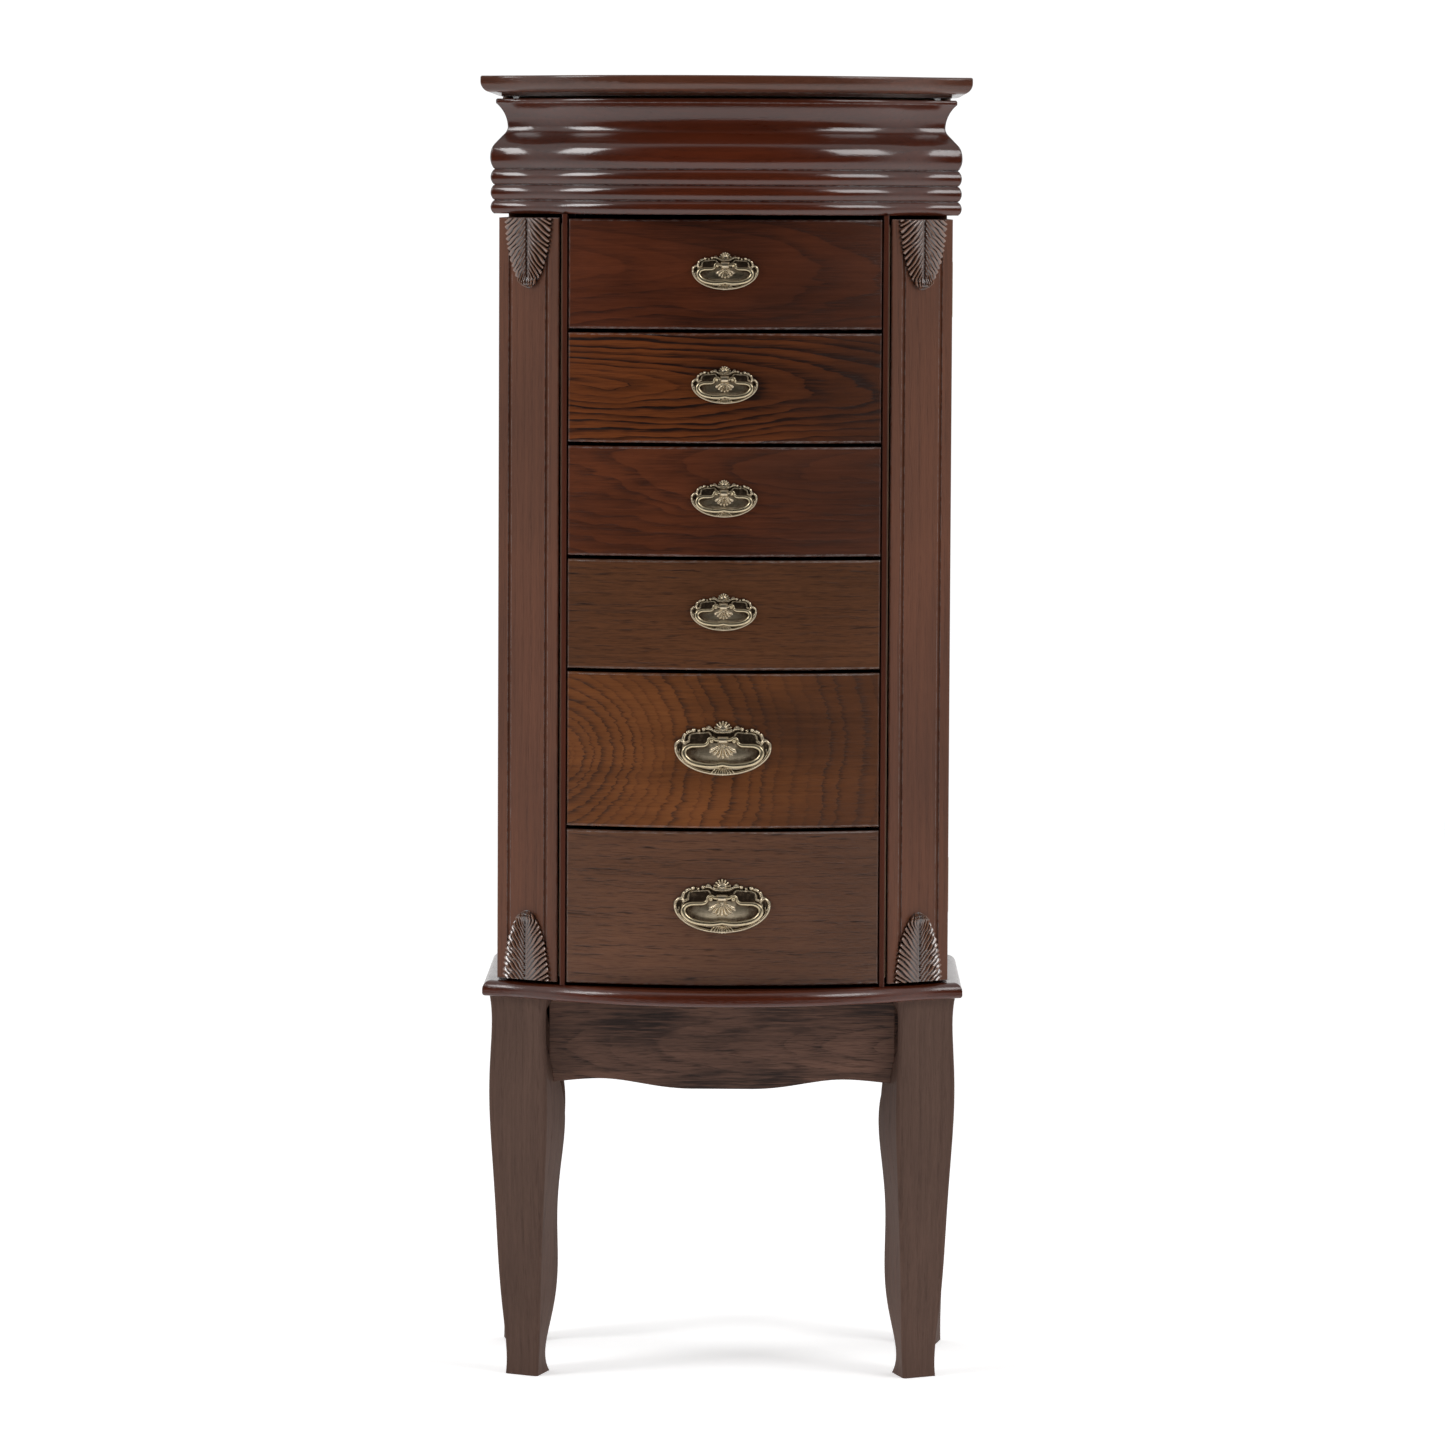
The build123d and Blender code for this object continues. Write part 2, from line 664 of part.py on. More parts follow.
for node, planes in [("hinge_leaves_right", right_planes), ("hinge_leaves_left", left_planes),
                     ("hinge_leaves_lid", lid_planes)]:
    with BuildPart() as moving_leaves:
        for plane in planes:
            add(hinge_half(plane, moving_spans, 1))
    save(moving_leaves, node)

# --- Drawers -------------------------------------------------------------------------------
bow_end_y = drawer_front_y + drawer_bow_radius - math.sqrt(drawer_bow_radius**2 - drawer_half_width**2)


def drawer_front(bottom, height, pull_z):
    """Bow-front drawer face with a screw hole behind its pull."""
    with BuildPart() as front:
        with BuildSketch(Plane.XY.offset(bottom)):
            with BuildLine():
                ThreePointArc((-drawer_half_width, bow_end_y), (0, drawer_front_y),
                              (drawer_half_width, bow_end_y))
                Polyline((drawer_half_width, bow_end_y), (drawer_half_width, drawer_back_face_y),
                         (-drawer_half_width, drawer_back_face_y), (-drawer_half_width, bow_end_y))
            make_face()
        extrude(amount=height)
        face = front.faces().filter_by(GeomType.CYLINDER)
        fillet(face.edges(), drawer_front_round)
        with BuildSketch(Plane.XZ.offset(-drawer_back_face_y)):
            with Locations((0, pull_z)):
                Circle(screw_hole_radius)
        extrude(amount=2 * (drawer_back_face_y - drawer_front_y), mode=Mode.SUBTRACT)
    return front


def drawer_box(bottom, height):
    """Drawer box behind the front, open at its top and against the front."""
    low = bottom + box_lift
    with BuildPart() as box:
        add(block((-box_half_width, drawer_back_face_y, low),
                  (box_half_width, box_back_y, bottom + height - box_drop)))
        add(block((-box_half_width + box_wall, drawer_back_face_y - 1, low + box_floor),
                  (box_half_width - box_wall, box_back_y - box_wall, bottom + height)),
            mode=Mode.SUBTRACT)
    return box


def pull_plate(pull_z, half_width, half_height):
    """Oval backplate on the bowed front, its hinge lug and the screw that holds it."""
    pin_y = drawer_front_y - pull_depth
    pin_z = pull_z + half_height * pin_rise
    lug_depth = pull_depth + lug_ahead
    head_start = Plane.XZ.offset(-drawer_back_face_y - screw_head_depth)
    with BuildPart() as plate:
        with BuildSketch(Plane.XZ.offset(-drawer_front_y - plate_sunk)):
            with Locations((0, pull_z)):
                Ellipse(half_width, half_height)
        extrude(amount=plate_thickness)
        with BuildSketch(Plane.YZ.offset(-lug_half_width)):
            with Locations((drawer_front_y - lug_depth / 2, pin_z)):
                RectangleRounded(lug_depth, lug_height, lug_round)
            with Locations((pin_y, pin_z)):
                Circle(bail_pin_radius + pin_clearance, mode=Mode.SUBTRACT)
        extrude(amount=2 * lug_half_width)
        with BuildSketch(Plane.XY.offset(pull_z - 2 * half_height)):
            with Locations((0, drawer_front_y + drawer_bow_radius)):
                Circle(drawer_bow_radius)
        extrude(amount=4 * half_height, mode=Mode.SUBTRACT)
        with BuildSketch(head_start):
            with Locations((0, pull_z)):
                Circle(screw_radius)
        extrude(amount=drawer_back_face_y + screw_head_depth - drawer_front_y + 1)
        with BuildSketch(head_start):
            with Locations((0, pull_z)):
                Circle(screw_head_radius)
        extrude(amount=screw_head_depth)
    return plate


def bail(pull_z, half_width, half_height):
    """Swinging bail: two arms from the lug, round ends and a long lower run."""
    scale = half_width / large_pull_half[0]
    wire = bail_wire_base + bail_wire_growth * scale
    start = lug_half_width + bail_arm_gap
    centre = (0, drawer_front_y - pull_depth, pull_z + half_height * pin_rise)
    front_plane = Plane(origin=centre, x_dir=(1, 0, 0), z_dir=(0, -1, 0))
    bends = [bail_arm_start, bail_arm_end, (bail_reach, bail_arm_end[1]), (bail_reach, bail_low)]
    corners = [(start, 0)] + [(x * scale, z * scale) for x, z in bends]
    points = corners + [flip(point) for point in reversed(corners)]
    tight = bail_tight_round * scale
    round_end = bail_end_round * scale
    radii = [tight, tight, round_end, round_end, round_end, round_end, tight, tight]
    with BuildPart() as ring:
        with BuildLine(front_plane) as route:
            FilletPolyline(*points, radius=radii)
        with BuildSketch(Plane(origin=route.line @ 0, z_dir=route.line % 0)):
            Circle(wire)
        sweep(path=route.line)
        for way in (-1, 1):
            with BuildSketch(Plane(origin=centre, x_dir=(0, 1, 0), z_dir=(way, 0, 0)).offset(1.0)):
                Circle(bail_pin_radius)
            extrude(amount=start + 0.5)
    return ring


bottom = drawer_stack_bottom + sum(drawer_heights) + drawer_gap * (len(drawer_heights) - 1)
runner_spots = []
for number, height in enumerate(drawer_heights, start=1):
    bottom = bottom - height
    large = height > small_height
    pull_half = large_pull_half if large else small_pull_half
    pull_z = bottom + height / 2 + pull_rise
    save(drawer_front(bottom, height, pull_z), f"drawer_{number}_front")
    save(drawer_box(bottom, height), f"drawer_{number}_box")
    save(pull_plate(pull_z, *pull_half), f"pull_{number}")
    save(bail(pull_z, *pull_half), f"bail_{number}")
    runner_spots.append(bottom + box_lift - runner_gap)
    bottom = bottom - drawer_gap

with BuildPart() as drawer_runners:
    for top in runner_spots:
        add(block((side_inner_x - runner_width, runner_front_y, top - runner_height),
                  (side_inner_x, runner_back_y, top)))
    mirror(about=Plane.YZ)
save(drawer_runners, "drawer_runners")
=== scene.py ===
"""Looks for the bow-front jewelry armoire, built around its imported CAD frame.

The scene is in metres, in the CAD's own frame: the front faces -Y and the floor is z = 0. Shapes are worked
out in millimetres, and piece() turns them into metres.
"""
import math
import bmesh
import bpy
import numpy as np
from mathutils import Matrix, Vector


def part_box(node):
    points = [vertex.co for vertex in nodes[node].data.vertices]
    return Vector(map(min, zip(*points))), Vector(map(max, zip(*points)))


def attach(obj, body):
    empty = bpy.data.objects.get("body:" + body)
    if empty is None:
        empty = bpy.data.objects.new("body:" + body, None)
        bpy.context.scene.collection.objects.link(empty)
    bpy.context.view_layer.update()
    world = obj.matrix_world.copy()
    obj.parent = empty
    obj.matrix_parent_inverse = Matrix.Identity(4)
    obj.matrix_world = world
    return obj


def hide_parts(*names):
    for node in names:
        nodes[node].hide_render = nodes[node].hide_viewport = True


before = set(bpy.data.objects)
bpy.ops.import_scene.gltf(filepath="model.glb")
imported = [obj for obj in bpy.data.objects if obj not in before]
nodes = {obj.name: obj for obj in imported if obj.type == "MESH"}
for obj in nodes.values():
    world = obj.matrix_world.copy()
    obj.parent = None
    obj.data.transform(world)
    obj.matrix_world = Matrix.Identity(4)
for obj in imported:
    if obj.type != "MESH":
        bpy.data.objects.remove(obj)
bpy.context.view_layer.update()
MM = 0.001

# --- Places taken from the frame, in millimetres ---
DRAWERS = range(1, 7)
SIDES = {"right": 1, "left": -1}
DRAWER_BOW_RADIUS = 362.0
BOW_RADIUS = 240.0
BOW_ANGLE = math.radians(38.0)
RETURN_RADIUS = 124.6


def box_mm(node):
    """Lowest and highest corner of a CAD node, in millimetres."""
    low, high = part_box(node)
    return np.array(low) / MM, np.array(high) / MM


drawer_low = {n: box_mm(f"drawer_{n}_front")[0] for n in DRAWERS}
drawer_high = {n: box_mm(f"drawer_{n}_front")[1] for n in DRAWERS}
drawer_face_y = drawer_low[1][1]
bow_centre_y = box_mm("base_board")[0][1] + BOW_RADIUS
return_centre_x = (BOW_RADIUS + RETURN_RADIUS) * math.sin(BOW_ANGLE)
return_centre_y = bow_centre_y - (BOW_RADIUS + RETURN_RADIUS) * math.cos(BOW_ANGLE)


# --- Shader helpers ---
def feed(tree, socket, value):
    """Links a socket, or sets a plain number or colour."""
    if isinstance(value, bpy.types.NodeSocket):
        tree.links.new(value, socket)
    else:
        socket.default_value = value


def add_node(tree, kind, *values, named=None, **settings):
    """Adds a node with its properties set, and feeds its first inputs and those named or numbered."""
    node = tree.nodes.new("ShaderNode" + kind)
    for name, value in settings.items():
        setattr(node, name, value)
    for socket, value in zip(node.inputs, values):
        feed(tree, socket, value)
    for key, value in (named or {}).items():
        feed(tree, node.inputs[key], value)
    return node


class Shader:
    """One material's node tree. Each method adds a node and gives back its output socket."""

    def __init__(self, name, **settings):
        self.material = bpy.data.materials.new(name)
        self.material.use_nodes = True
        self.tree = self.material.node_tree
        self.shader = self.tree.nodes["Principled BSDF"]
        self.place = self.tree.nodes.new("ShaderNodeTexCoord").outputs["Object"]
        for socket, value in settings.items():
            self.shader.inputs[socket.replace("_", " ")].default_value = value

    def drive(self, socket, value):
        """Links a value to one of the shader's own sockets."""
        feed(self.tree, self.shader.inputs[socket], value)

    def node(self, kind, *values, **settings):
        return add_node(self.tree, kind, *values, **settings)

    def math(self, operation, first, second=0.0, clamp=False):
        return self.node("Math", first, second, operation=operation, use_clamp=clamp).outputs[0]

    def sum(self, first, *others):
        for other in others:
            first = self.math("ADD", first, other)
        return first

    def times(self, first, second):
        return self.math("MULTIPLY", first, second)

    def centred(self, value):
        """Moves a value from around a half to around zero."""
        return self.math("SUBTRACT", value, 0.5)

    def axes(self, vector):
        return tuple(self.node("SeparateXYZ", vector).outputs)

    def vector(self, x, y, z):
        return self.node("CombineXYZ", x, y, z).outputs[0]

    def noise(self, vector, detail=2.0, roughness=0.5):
        named = {"Scale": 1.0, "Detail": detail, "Roughness": roughness}
        return self.node("TexNoise", vector, named=named).outputs["Fac"]

    def grain(self, cells, detail=2.0, roughness=0.5, vector=None):
        """Noise with so many cells to the metre along X, Y and Z; the last number serves for the rest."""
        cells = cells if isinstance(cells, tuple) else (cells,)
        factors = (*cells, cells[-1], cells[-1])[:3]
        place = self.place if vector is None else vector
        stretched = self.node("VectorMath", place, factors, operation="MULTIPLY").outputs[0]
        return self.noise(stretched, detail, roughness)

    def steps(self, factor, stops):
        """Grey ramp: stops are (place, grey)."""
        return self.ramp(factor, [(place, (grey, grey, grey)) for place, grey in stops])

    def ramp(self, factor, stops):
        node = self.node("ValToRGB", factor)
        elements = node.color_ramp.elements
        while len(elements) < len(stops):
            elements.new(0.5)
        for element, (place, colour) in zip(elements, stops):
            element.position = place
            element.color = (*colour, 1.0)
        return node.outputs["Color"]

    def mix(self, factor, first, second):
        colours = [(*value, 1.0) if isinstance(value, tuple) else value for value in (first, second)]
        return self.node("Mix", factor, named=dict(zip((6, 7), colours)), data_type="RGBA").outputs[2]

    def tint(self, colour, value):
        """Multiplies a colour by a grey value."""
        return self.node("VectorMath", colour, named={"Scale": value}, operation="SCALE").outputs[0]

    def edges(self, radius):
        """The bevelled normal, and how near a sharp edge the point is, from 0 to about 0.3."""
        bevelled = self.node("Bevel", radius, samples=4).outputs[0]
        flat = self.node("NewGeometry").outputs["Normal"]
        dot = self.node("VectorMath", bevelled, flat, operation="DOT_PRODUCT")
        return bevelled, self.math("SUBTRACT", 1.0, dot.outputs["Value"], clamp=True)

    def bump(self, height, depth, normal=None, coat=False):
        """Bump of a real depth in metres, on the base and on the coat too if asked."""
        named = {"Strength": 1.0, "Distance": depth, "Height": height}
        if normal is not None:
            named["Normal"] = normal
        bumped = self.node("Bump", named=named).outputs[0]
        self.drive("Normal", bumped)
        if coat:
            self.drive("Coat Normal", bumped)


def srgb(red, green, blue):
    """Linear colour from 0 to 255 display values."""
    return tuple(((value / 255 + 0.055) / 1.055) ** 2.4 if value > 10 else value / 255 / 12.92
                 for value in (red, green, blue))


def scaled(colour, factor, lift=0.0):
    """A colour made darker or lighter, with no channel above 1."""
    return tuple(min(1.0, factor * value + lift) for value in colour)


def along_grain(s, grain, bow=None):
    """Coordinates as (along the grain, across it, into the board). bow flattens a bowed front."""
    x, y, z = s.axes(s.place)
    if bow is not None:
        curve = s.times(s.times(x, x), 0.5 / (bow * MM))
        y = s.math("SUBTRACT", y, curve)
    return {"X": (x, z, y), "Y": (y, z, x), "Z": (z, x, y)}[grain]


def wood(name, light, dark, grain="X", ring=4.0, heart=(0.0, -60.0), slope=0.0, warp=6.0, contrast=0.6,
         pores=0.5, fibre=0.25, tone=0.25, rough=0.4, coat=0.5, coat_rough=0.12, bow=None, edge_wear_and_highlight=0.0,
         seed=0.0, edge=0.9, smudge=0.0, fade=0.0, shade=None, jag=3.0, thin=0.0, broken=0.75, spread=1.0,
         depth=0.05):
    """Stained and lacquered wood.

    Growth rings, ring mm apart, lie round a heart line, given across and into the board in mm. slope tilts
    that line, so that a flat-sawn face shows nested arches, and warp is how far it wanders in mm.
    jag is how far each fibre slides along the grain in mm, thin narrows the rings' dark lines, broken is how
    much the fibres break those up, and spread below 1 widens the outer rings.
    contrast, pores, fibre and tone are the strengths of the rings, the pores, the streaks and the clouds.
    smudge adds dark stains, and fade mixes in the shade colour towards the right-hand end of the board as a
    painted reflection haze. edge_wear_and_highlight pales the edges, as wear and as a painted highlight; the
    edges are rounded by edge mm. depth is the pores' depth in mm.
    """
    s = Shader(name, Coat_Weight=coat, Coat_Roughness=coat_rough, Specular_IOR_Level=0.12, Coat_IOR=1.5)
    along, across, into = along_grain(s, grain, bow)
    local = s.vector(s.sum(along, seed), across, into)

    # The rings: distance from the heart line, bent by slow waves and broken where fibres slide.
    bend = s.centred(s.grain((5.0, 16.0), 1.0, 0.5, local))
    ripple = s.centred(s.grain((18.0, 66.0), 2.0, 0.5, local))
    slip = s.centred(s.grain((26.0, 380.0), 2.0, 0.6, local))
    shift = s.sum(s.times(bend, warp * 2 * MM), s.times(ripple, warp * 0.75 * MM))
    wide = s.sum(across, -heart[0] * MM, shift)
    slid = s.sum(along, s.times(slip, 2 * jag * MM))
    deep = s.sum(into, -heart[1] * MM, s.times(slid, slope), s.times(shift, 0.6))
    distance = s.math("SQRT", s.sum(s.times(wide, wide), s.times(deep, deep)))
    even = s.times(distance, 1.0 / (ring * MM))
    if spread != 1.0:
        even = s.math("POWER", even, spread)
    phase = s.sum(even, s.times(s.noise(s.vector(s.times(even, 0.43), seed, 0.5), 1.0), 2.0))
    band = s.steps(s.math("FRACT", phase), [
        (0.0, 1.0), (0.14 - 0.05 * thin, 0.8 - 0.3 * thin), (0.42 - 0.2 * thin, 0.22 - 0.12 * thin),
        (0.8, 0.0), (0.95, 0.08), (1.0, 0.9)])
    year = s.noise(s.vector(s.times(s.math("FLOOR", phase), 7.31), seed, 0.0), 0.0)
    band = s.times(band, s.steps(year, [(0.3, 0.35), (0.62, 1.0)]))
    dash = s.grain((34.0, 760.0), 2.0, 0.6, local)
    band = s.times(band, s.steps(dash, [(0.3, 1.0 - broken), (0.6, 1.1)]))

    # Fibres, pores and slow changes of tone.
    streak = s.grain((9.0, 330.0), 3.0, 0.6, local)
    long_pore = s.steps(s.grain((60.0, 1050.0), 1.0, 0.5, local), [(0.53, 0.0), (0.66, 1.0)])
    short_pore = s.steps(s.grain((130.0, 1900.0), 1.0, 0.5, local), [(0.52, 0.0), (0.64, 1.0)])
    pore = s.math("MAXIMUM", long_pore, s.times(short_pore, 0.6))
    pore = s.times(pore, s.sum(s.times(band, 0.7), 0.35))
    cloud = s.grain((6.0, 14.0), 2.0, 0.5, local)
    colour = s.mix(s.times(band, contrast), light, dark)
    colour = s.mix(s.times(pore, pores), colour, scaled(dark, 0.3))
    if smudge:
        stain = s.grain((9.0, 26.0), 2.0, 0.5, s.vector(s.sum(along, seed + 3.0), across, into))
        stain = s.times(s.steps(stain, [(0.46, 0.0), (0.62, 1.0)]), s.steps(dash, [(0.38, 0.3), (0.56, 1.0)]))
        colour = s.mix(s.times(stain, smudge), colour, dark)
    # Painted reflection: a greyish haze in the shade colour, mixed in towards the right-hand end of the
    # board.
    if fade:
        painted_haze_share = s.steps(s.sum(s.times(along, 4.2), 0.5, s.times(bend, 0.9)), [(0.35, 0.0), (0.85, 1.0)])
        colour = s.mix(s.times(painted_haze_share, fade), colour, shade)
    colour = s.tint(colour, s.sum(s.times(s.centred(streak), fibre * 2.4),
                                  s.times(s.centred(cloud), tone * 2.4), 1.0))

    # Rounded edges, paled by wear and by a painted highlight along them.
    bevelled, nearness = s.edges(edge * MM)
    if edge_wear_and_highlight:
        chips = s.steps(s.grain(160.0, 3.0, 0.65), [(0.4, 0.15), (0.6, 1.0)])
        worn_and_highlit = s.times(s.times(s.steps(nearness, [(0.015, 0.0), (0.09, 1.0)]), chips), edge_wear_and_highlight)
        colour = s.mix(worn_and_highlit, colour, scaled(light, 0.5, 0.3))
    s.drive("Base Color", colour)
    s.drive("Roughness", s.sum(s.times(streak, 0.16), s.times(pore, 0.12), rough - 0.08))
    s.bump(s.sum(s.times(pore, -1.0), s.times(streak, 0.6)), depth * MM, bevelled, coat=True)
    return s.material


def apply_material(names, material):
    """Gives CAD nodes a material, in every slot of their meshes."""
    for name in names:
        slots = nodes[name].data.materials
        if not slots:
            slots.append(material)
        for index in range(len(slots)):
            slots[index] = material


# --- Woods ---
RED_LIGHT = srgb(77, 32, 16)
RED_DARK = srgb(38, 15, 9)

apply_material(["crown_front", "crown_right", "crown_left"], wood(
    "crown_mahogany", RED_LIGHT, RED_DARK, ring=8.0, heart=(40.0, -30.0), contrast=0.3, pores=0.1, tone=0.5,
    rough=0.3, coat=1.0, coat_rough=0.085, seed=1.7, edge_wear_and_highlight=0.5, edge=1.2, depth=0.02))
apply_material(["lid"], wood(
    "lid_mahogany", srgb(86, 50, 36), RED_DARK, ring=6.0, heart=(-30.0, -80.0), contrast=0.35, pores=0.25,
    tone=0.4, rough=0.36, coat=0.8, coat_rough=0.12, seed=4.1, edge_wear_and_highlight=0.5, edge=1.2))
apply_material(["base_board"], wood(
    "base_mahogany", RED_LIGHT, RED_DARK, ring=7.0, heart=(40.0, -60.0), contrast=0.35, pores=0.2, tone=0.4,
    rough=0.34, coat=0.9, coat_rough=0.12, seed=6.3, edge_wear_and_highlight=0.3))
apply_material(["case_top", "case_side_right", "case_side_left"], wood(
    "plain_mahogany", srgb(78, 39, 26), RED_DARK, grain="Z", ring=6.0, contrast=0.25, pores=0.25, tone=0.3,
    rough=0.42, coat=0.5, seed=2.9, edge_wear_and_highlight=0.12, edge=0.6))
apply_material(["door_right", "door_left"], wood(
    "door_mahogany", srgb(97, 58, 40), srgb(60, 34, 23), grain="Z", ring=9.0, heart=(0.0, -160.0), slope=0.02,
    contrast=0.2, pores=0.3, fibre=0.22, tone=0.3, rough=0.46, coat=0.35, coat_rough=0.25, seed=8.8,
    edge_wear_and_highlight=0.5, edge=1.2))
apply_material(["leg_front_right", "leg_front_left", "leg_back_right", "leg_back_left"], wood(
    "leg_mahogany", srgb(89, 68, 59), srgb(58, 42, 36), grain="Z", ring=8.0, heart=(0.0, -200.0),
    contrast=0.2, pores=0.3, fibre=0.24, tone=0.22, rough=0.65, coat=0.0, seed=11.2, edge_wear_and_highlight=0.3))
for side, grain in (("front", "X"), ("back", "X"), ("right", "Y"), ("left", "Y")):
    apply_material([f"apron_{side}"], wood(
        f"apron_oak_{side}", srgb(104, 75, 62), srgb(44, 30, 25), grain=grain, ring=4.2, heart=(262.0, -40.0),
        slope=0.10, warp=6.0, contrast=0.45, pores=1.0, fibre=0.5, rough=0.5, coat=0.25, coat_rough=0.3,
        smudge=1.0, broken=1.0, seed=14.0))

# Each drawer front is cut from its own board: how far the board's heart line lies above the middle of the
# front and in front of its face, in mm, and then its figure, where fade and shade paint a reflection haze
# towards the right-hand end.
DRAWER_BOARDS = {
    1: (6.0, -30.0, dict(
        light=srgb(90, 44, 24), dark=srgb(40, 18, 11), ring=8.0, slope=-0.16, warp=12.0, contrast=0.7,
        pores=0.45, tone=0.5, smudge=0.55, fade=0.5, shade=srgb(60, 37, 28), jag=4.0, broken=0.6)),
    2: (2.0, -15.0, dict(
        light=srgb(108, 56, 25), dark=srgb(30, 13, 7), ring=5.0, slope=-0.14, warp=11.0, contrast=1.5,
        pores=0.6, tone=0.3, smudge=0.2, fade=0.65, shade=srgb(50, 30, 23), jag=6.0, broken=0.6)),
    3: (30.0, -34.0, dict(
        light=srgb(94, 48, 27), dark=srgb(40, 19, 12), ring=6.0, slope=0.10, warp=14.0, contrast=0.75,
        pores=0.5, tone=0.45, smudge=0.4, fade=0.5, shade=srgb(64, 41, 32), jag=5.0, broken=0.7)),
    4: (150.0, -60.0, dict(
        light=srgb(94, 58, 36), dark=srgb(50, 29, 20), ring=7.0, slope=0.05, warp=10.0, contrast=0.25,
        pores=1.0, tone=0.35, smudge=0.1, fade=0.15, shade=srgb(60, 40, 31), jag=3.0, broken=0.8)),
    5: (-4.0, -124.0, dict(
        light=srgb(118, 69, 36), dark=srgb(40, 22, 13), ring=2.0, slope=-0.9, warp=9.0, contrast=0.75,
        pores=0.5, tone=0.45, smudge=0.3, fade=0.6, shade=srgb(56, 35, 26), jag=5.0, thin=0.4, broken=0.45,
        spread=0.7)),
    6: (170.0, -60.0, dict(
        light=srgb(101, 68, 50), dark=srgb(60, 38, 28), ring=7.0, slope=0.04, warp=9.0, contrast=0.2,
        pores=1.0, tone=0.35, smudge=0.1, fade=0.25, shade=srgb(72, 50, 42), jag=3.0, broken=0.8)),
}
for number, (rise, ahead, figure) in DRAWER_BOARDS.items():
    middle = (drawer_low[number][2] + drawer_high[number][2]) / 2
    apply_material([f"drawer_{number}_front"], wood(
        f"drawer_oak_{number}", **figure, heart=(middle + rise, drawer_face_y - ahead), rough=0.4, coat=0.5,
        coat_rough=0.16, bow=DRAWER_BOW_RADIUS, edge_wear_and_highlight=0.8, edge=1.6, seed=20.0 + 3.3 * number))
apply_material([f"drawer_{n}_box" for n in DRAWERS], wood(
    "box_wood", srgb(196, 160, 118), srgb(150, 112, 76), grain="Y", ring=5.0, heart=(0.0, -300.0),
    contrast=0.5, pores=0.2, tone=0.15, rough=0.55, coat=0.1, coat_rough=0.3, seed=31.0))
apply_material(["drawer_runners"], wood(
    "raw_wood", srgb(206, 176, 134), srgb(168, 132, 92), grain="Y", ring=4.0, contrast=0.5, pores=0.2,
    rough=0.6, coat=0.0, seed=37.0))
apply_material(["case_back"], wood(
    "back_panel_wood", srgb(82, 50, 36), srgb(50, 29, 20), grain="Z", ring=5.5, heart=(20.0, 60.0),
    slope=0.05, contrast=0.5, pores=0.3, rough=0.55, coat=0.2, coat_rough=0.3, seed=41.0))


# --- Mesh helpers: every shape below is worked out in millimetres ---
def circle(steps):
    """Angles evenly round a circle."""
    return np.linspace(0, 2 * math.pi, steps, endpoint=False)


def columns(*values):
    """Points from their coordinates, where a plain number serves for all of them."""
    return np.column_stack(np.broadcast_arrays(*values))


def added(name, data):
    """A new object in the scene."""
    made = bpy.data.objects.new(name, data)
    bpy.context.scene.collection.objects.link(made)
    return made


def skin(rings):
    """Points and faces of a closed surface through rings of points, with a fan at each end."""
    rings = np.asarray(rings, float)
    count, steps = rings.shape[:2]
    points = np.vstack([rings.reshape(-1, 3), rings[0].mean(0), rings[-1].mean(0)])
    first_centre = count * steps
    last_ring = first_centre - steps
    faces = []
    for step in range(steps):
        after = (step + 1) % steps
        for row in range(0, last_ring, steps):
            faces.append((row + step, row + after, row + after + steps, row + step + steps))
        faces.append((first_centre, after, step))
        faces.append((first_centre + 1, last_ring + step, last_ring + after))
    return points, faces


def joined(parts):
    """Several (points, faces) as one."""
    points = np.vstack([part[0] for part in parts])
    faces = []
    start = 0
    for part_points, part_faces in parts:
        faces += [tuple(index + start for index in face) for face in part_faces]
        start += len(part_points)
    return points, faces


def piece(name, shape, material, body, relief=None, sharp=40.0):
    """A new object from points and faces in millimetres, riding on a CAD body. relief is a value for each
    point, which the material reads to darken hollows."""
    points, faces = shape
    mesh = bpy.data.meshes.new(name)
    mesh.from_pydata((np.asarray(points) * MM).tolist(), [], faces)
    work = bmesh.new()
    work.from_mesh(mesh)
    bmesh.ops.recalc_face_normals(work, faces=work.faces)
    work.to_mesh(mesh)
    work.free()
    mesh.materials.append(material)
    mesh.shade_smooth()
    mesh.set_sharp_from_angle(angle=math.radians(sharp))
    if relief is not None:
        stored = mesh.attributes.new("relief", "FLOAT", "POINT")
        stored.data.foreach_set("value", np.asarray(relief, np.float32))
    made = added(name, mesh)
    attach(made, body)
    return made


def curve_through(points, per_span=8, closed=False):
    """Points on a smooth curve through the given ones."""
    points = np.asarray(points, float)
    if closed:
        padded_points = np.vstack([points[-1], points, points[:2]])
    else:
        padded_points = np.vstack([2 * points[0] - points[1], points, 2 * points[-1] - points[-2]])
    spans = len(padded_points) - 3
    steps = np.linspace(0, 1, per_span, endpoint=False)[:, None]
    line = []
    for span in range(spans):
        before, start, end, after = padded_points[span:span + 4]
        line.append(0.5 * (2 * start + (end - before) * steps
                           + (2 * before - 5 * start + 4 * end - after) * steps**2
                           + (3 * start - before - 3 * end + after) * steps**3))
    if not closed:
        line.append(points[-1:])
    return np.vstack(line)


def tube(line, radii, sides=14, flat=1.0):
    """Round tube along a line, with a radius for each of its points; flat squeezes it along Y."""
    line = np.asarray(line, float)
    radii = np.broadcast_to(radii, len(line))
    way = np.gradient(line, axis=0)
    way /= np.linalg.norm(way, axis=1)[:, None]
    out = np.cross(way, (0.0, 1.0, 0.0))
    out /= np.maximum(np.linalg.norm(out, axis=1)[:, None], 1e-9)
    up = np.cross(out, way)
    turns = circle(sides)
    rings = [point + radius * (np.outer(np.cos(turns), side) + flat * np.outer(np.sin(turns), top))
             for point, radius, side, top in zip(line, radii, out, up)]
    return skin(rings)


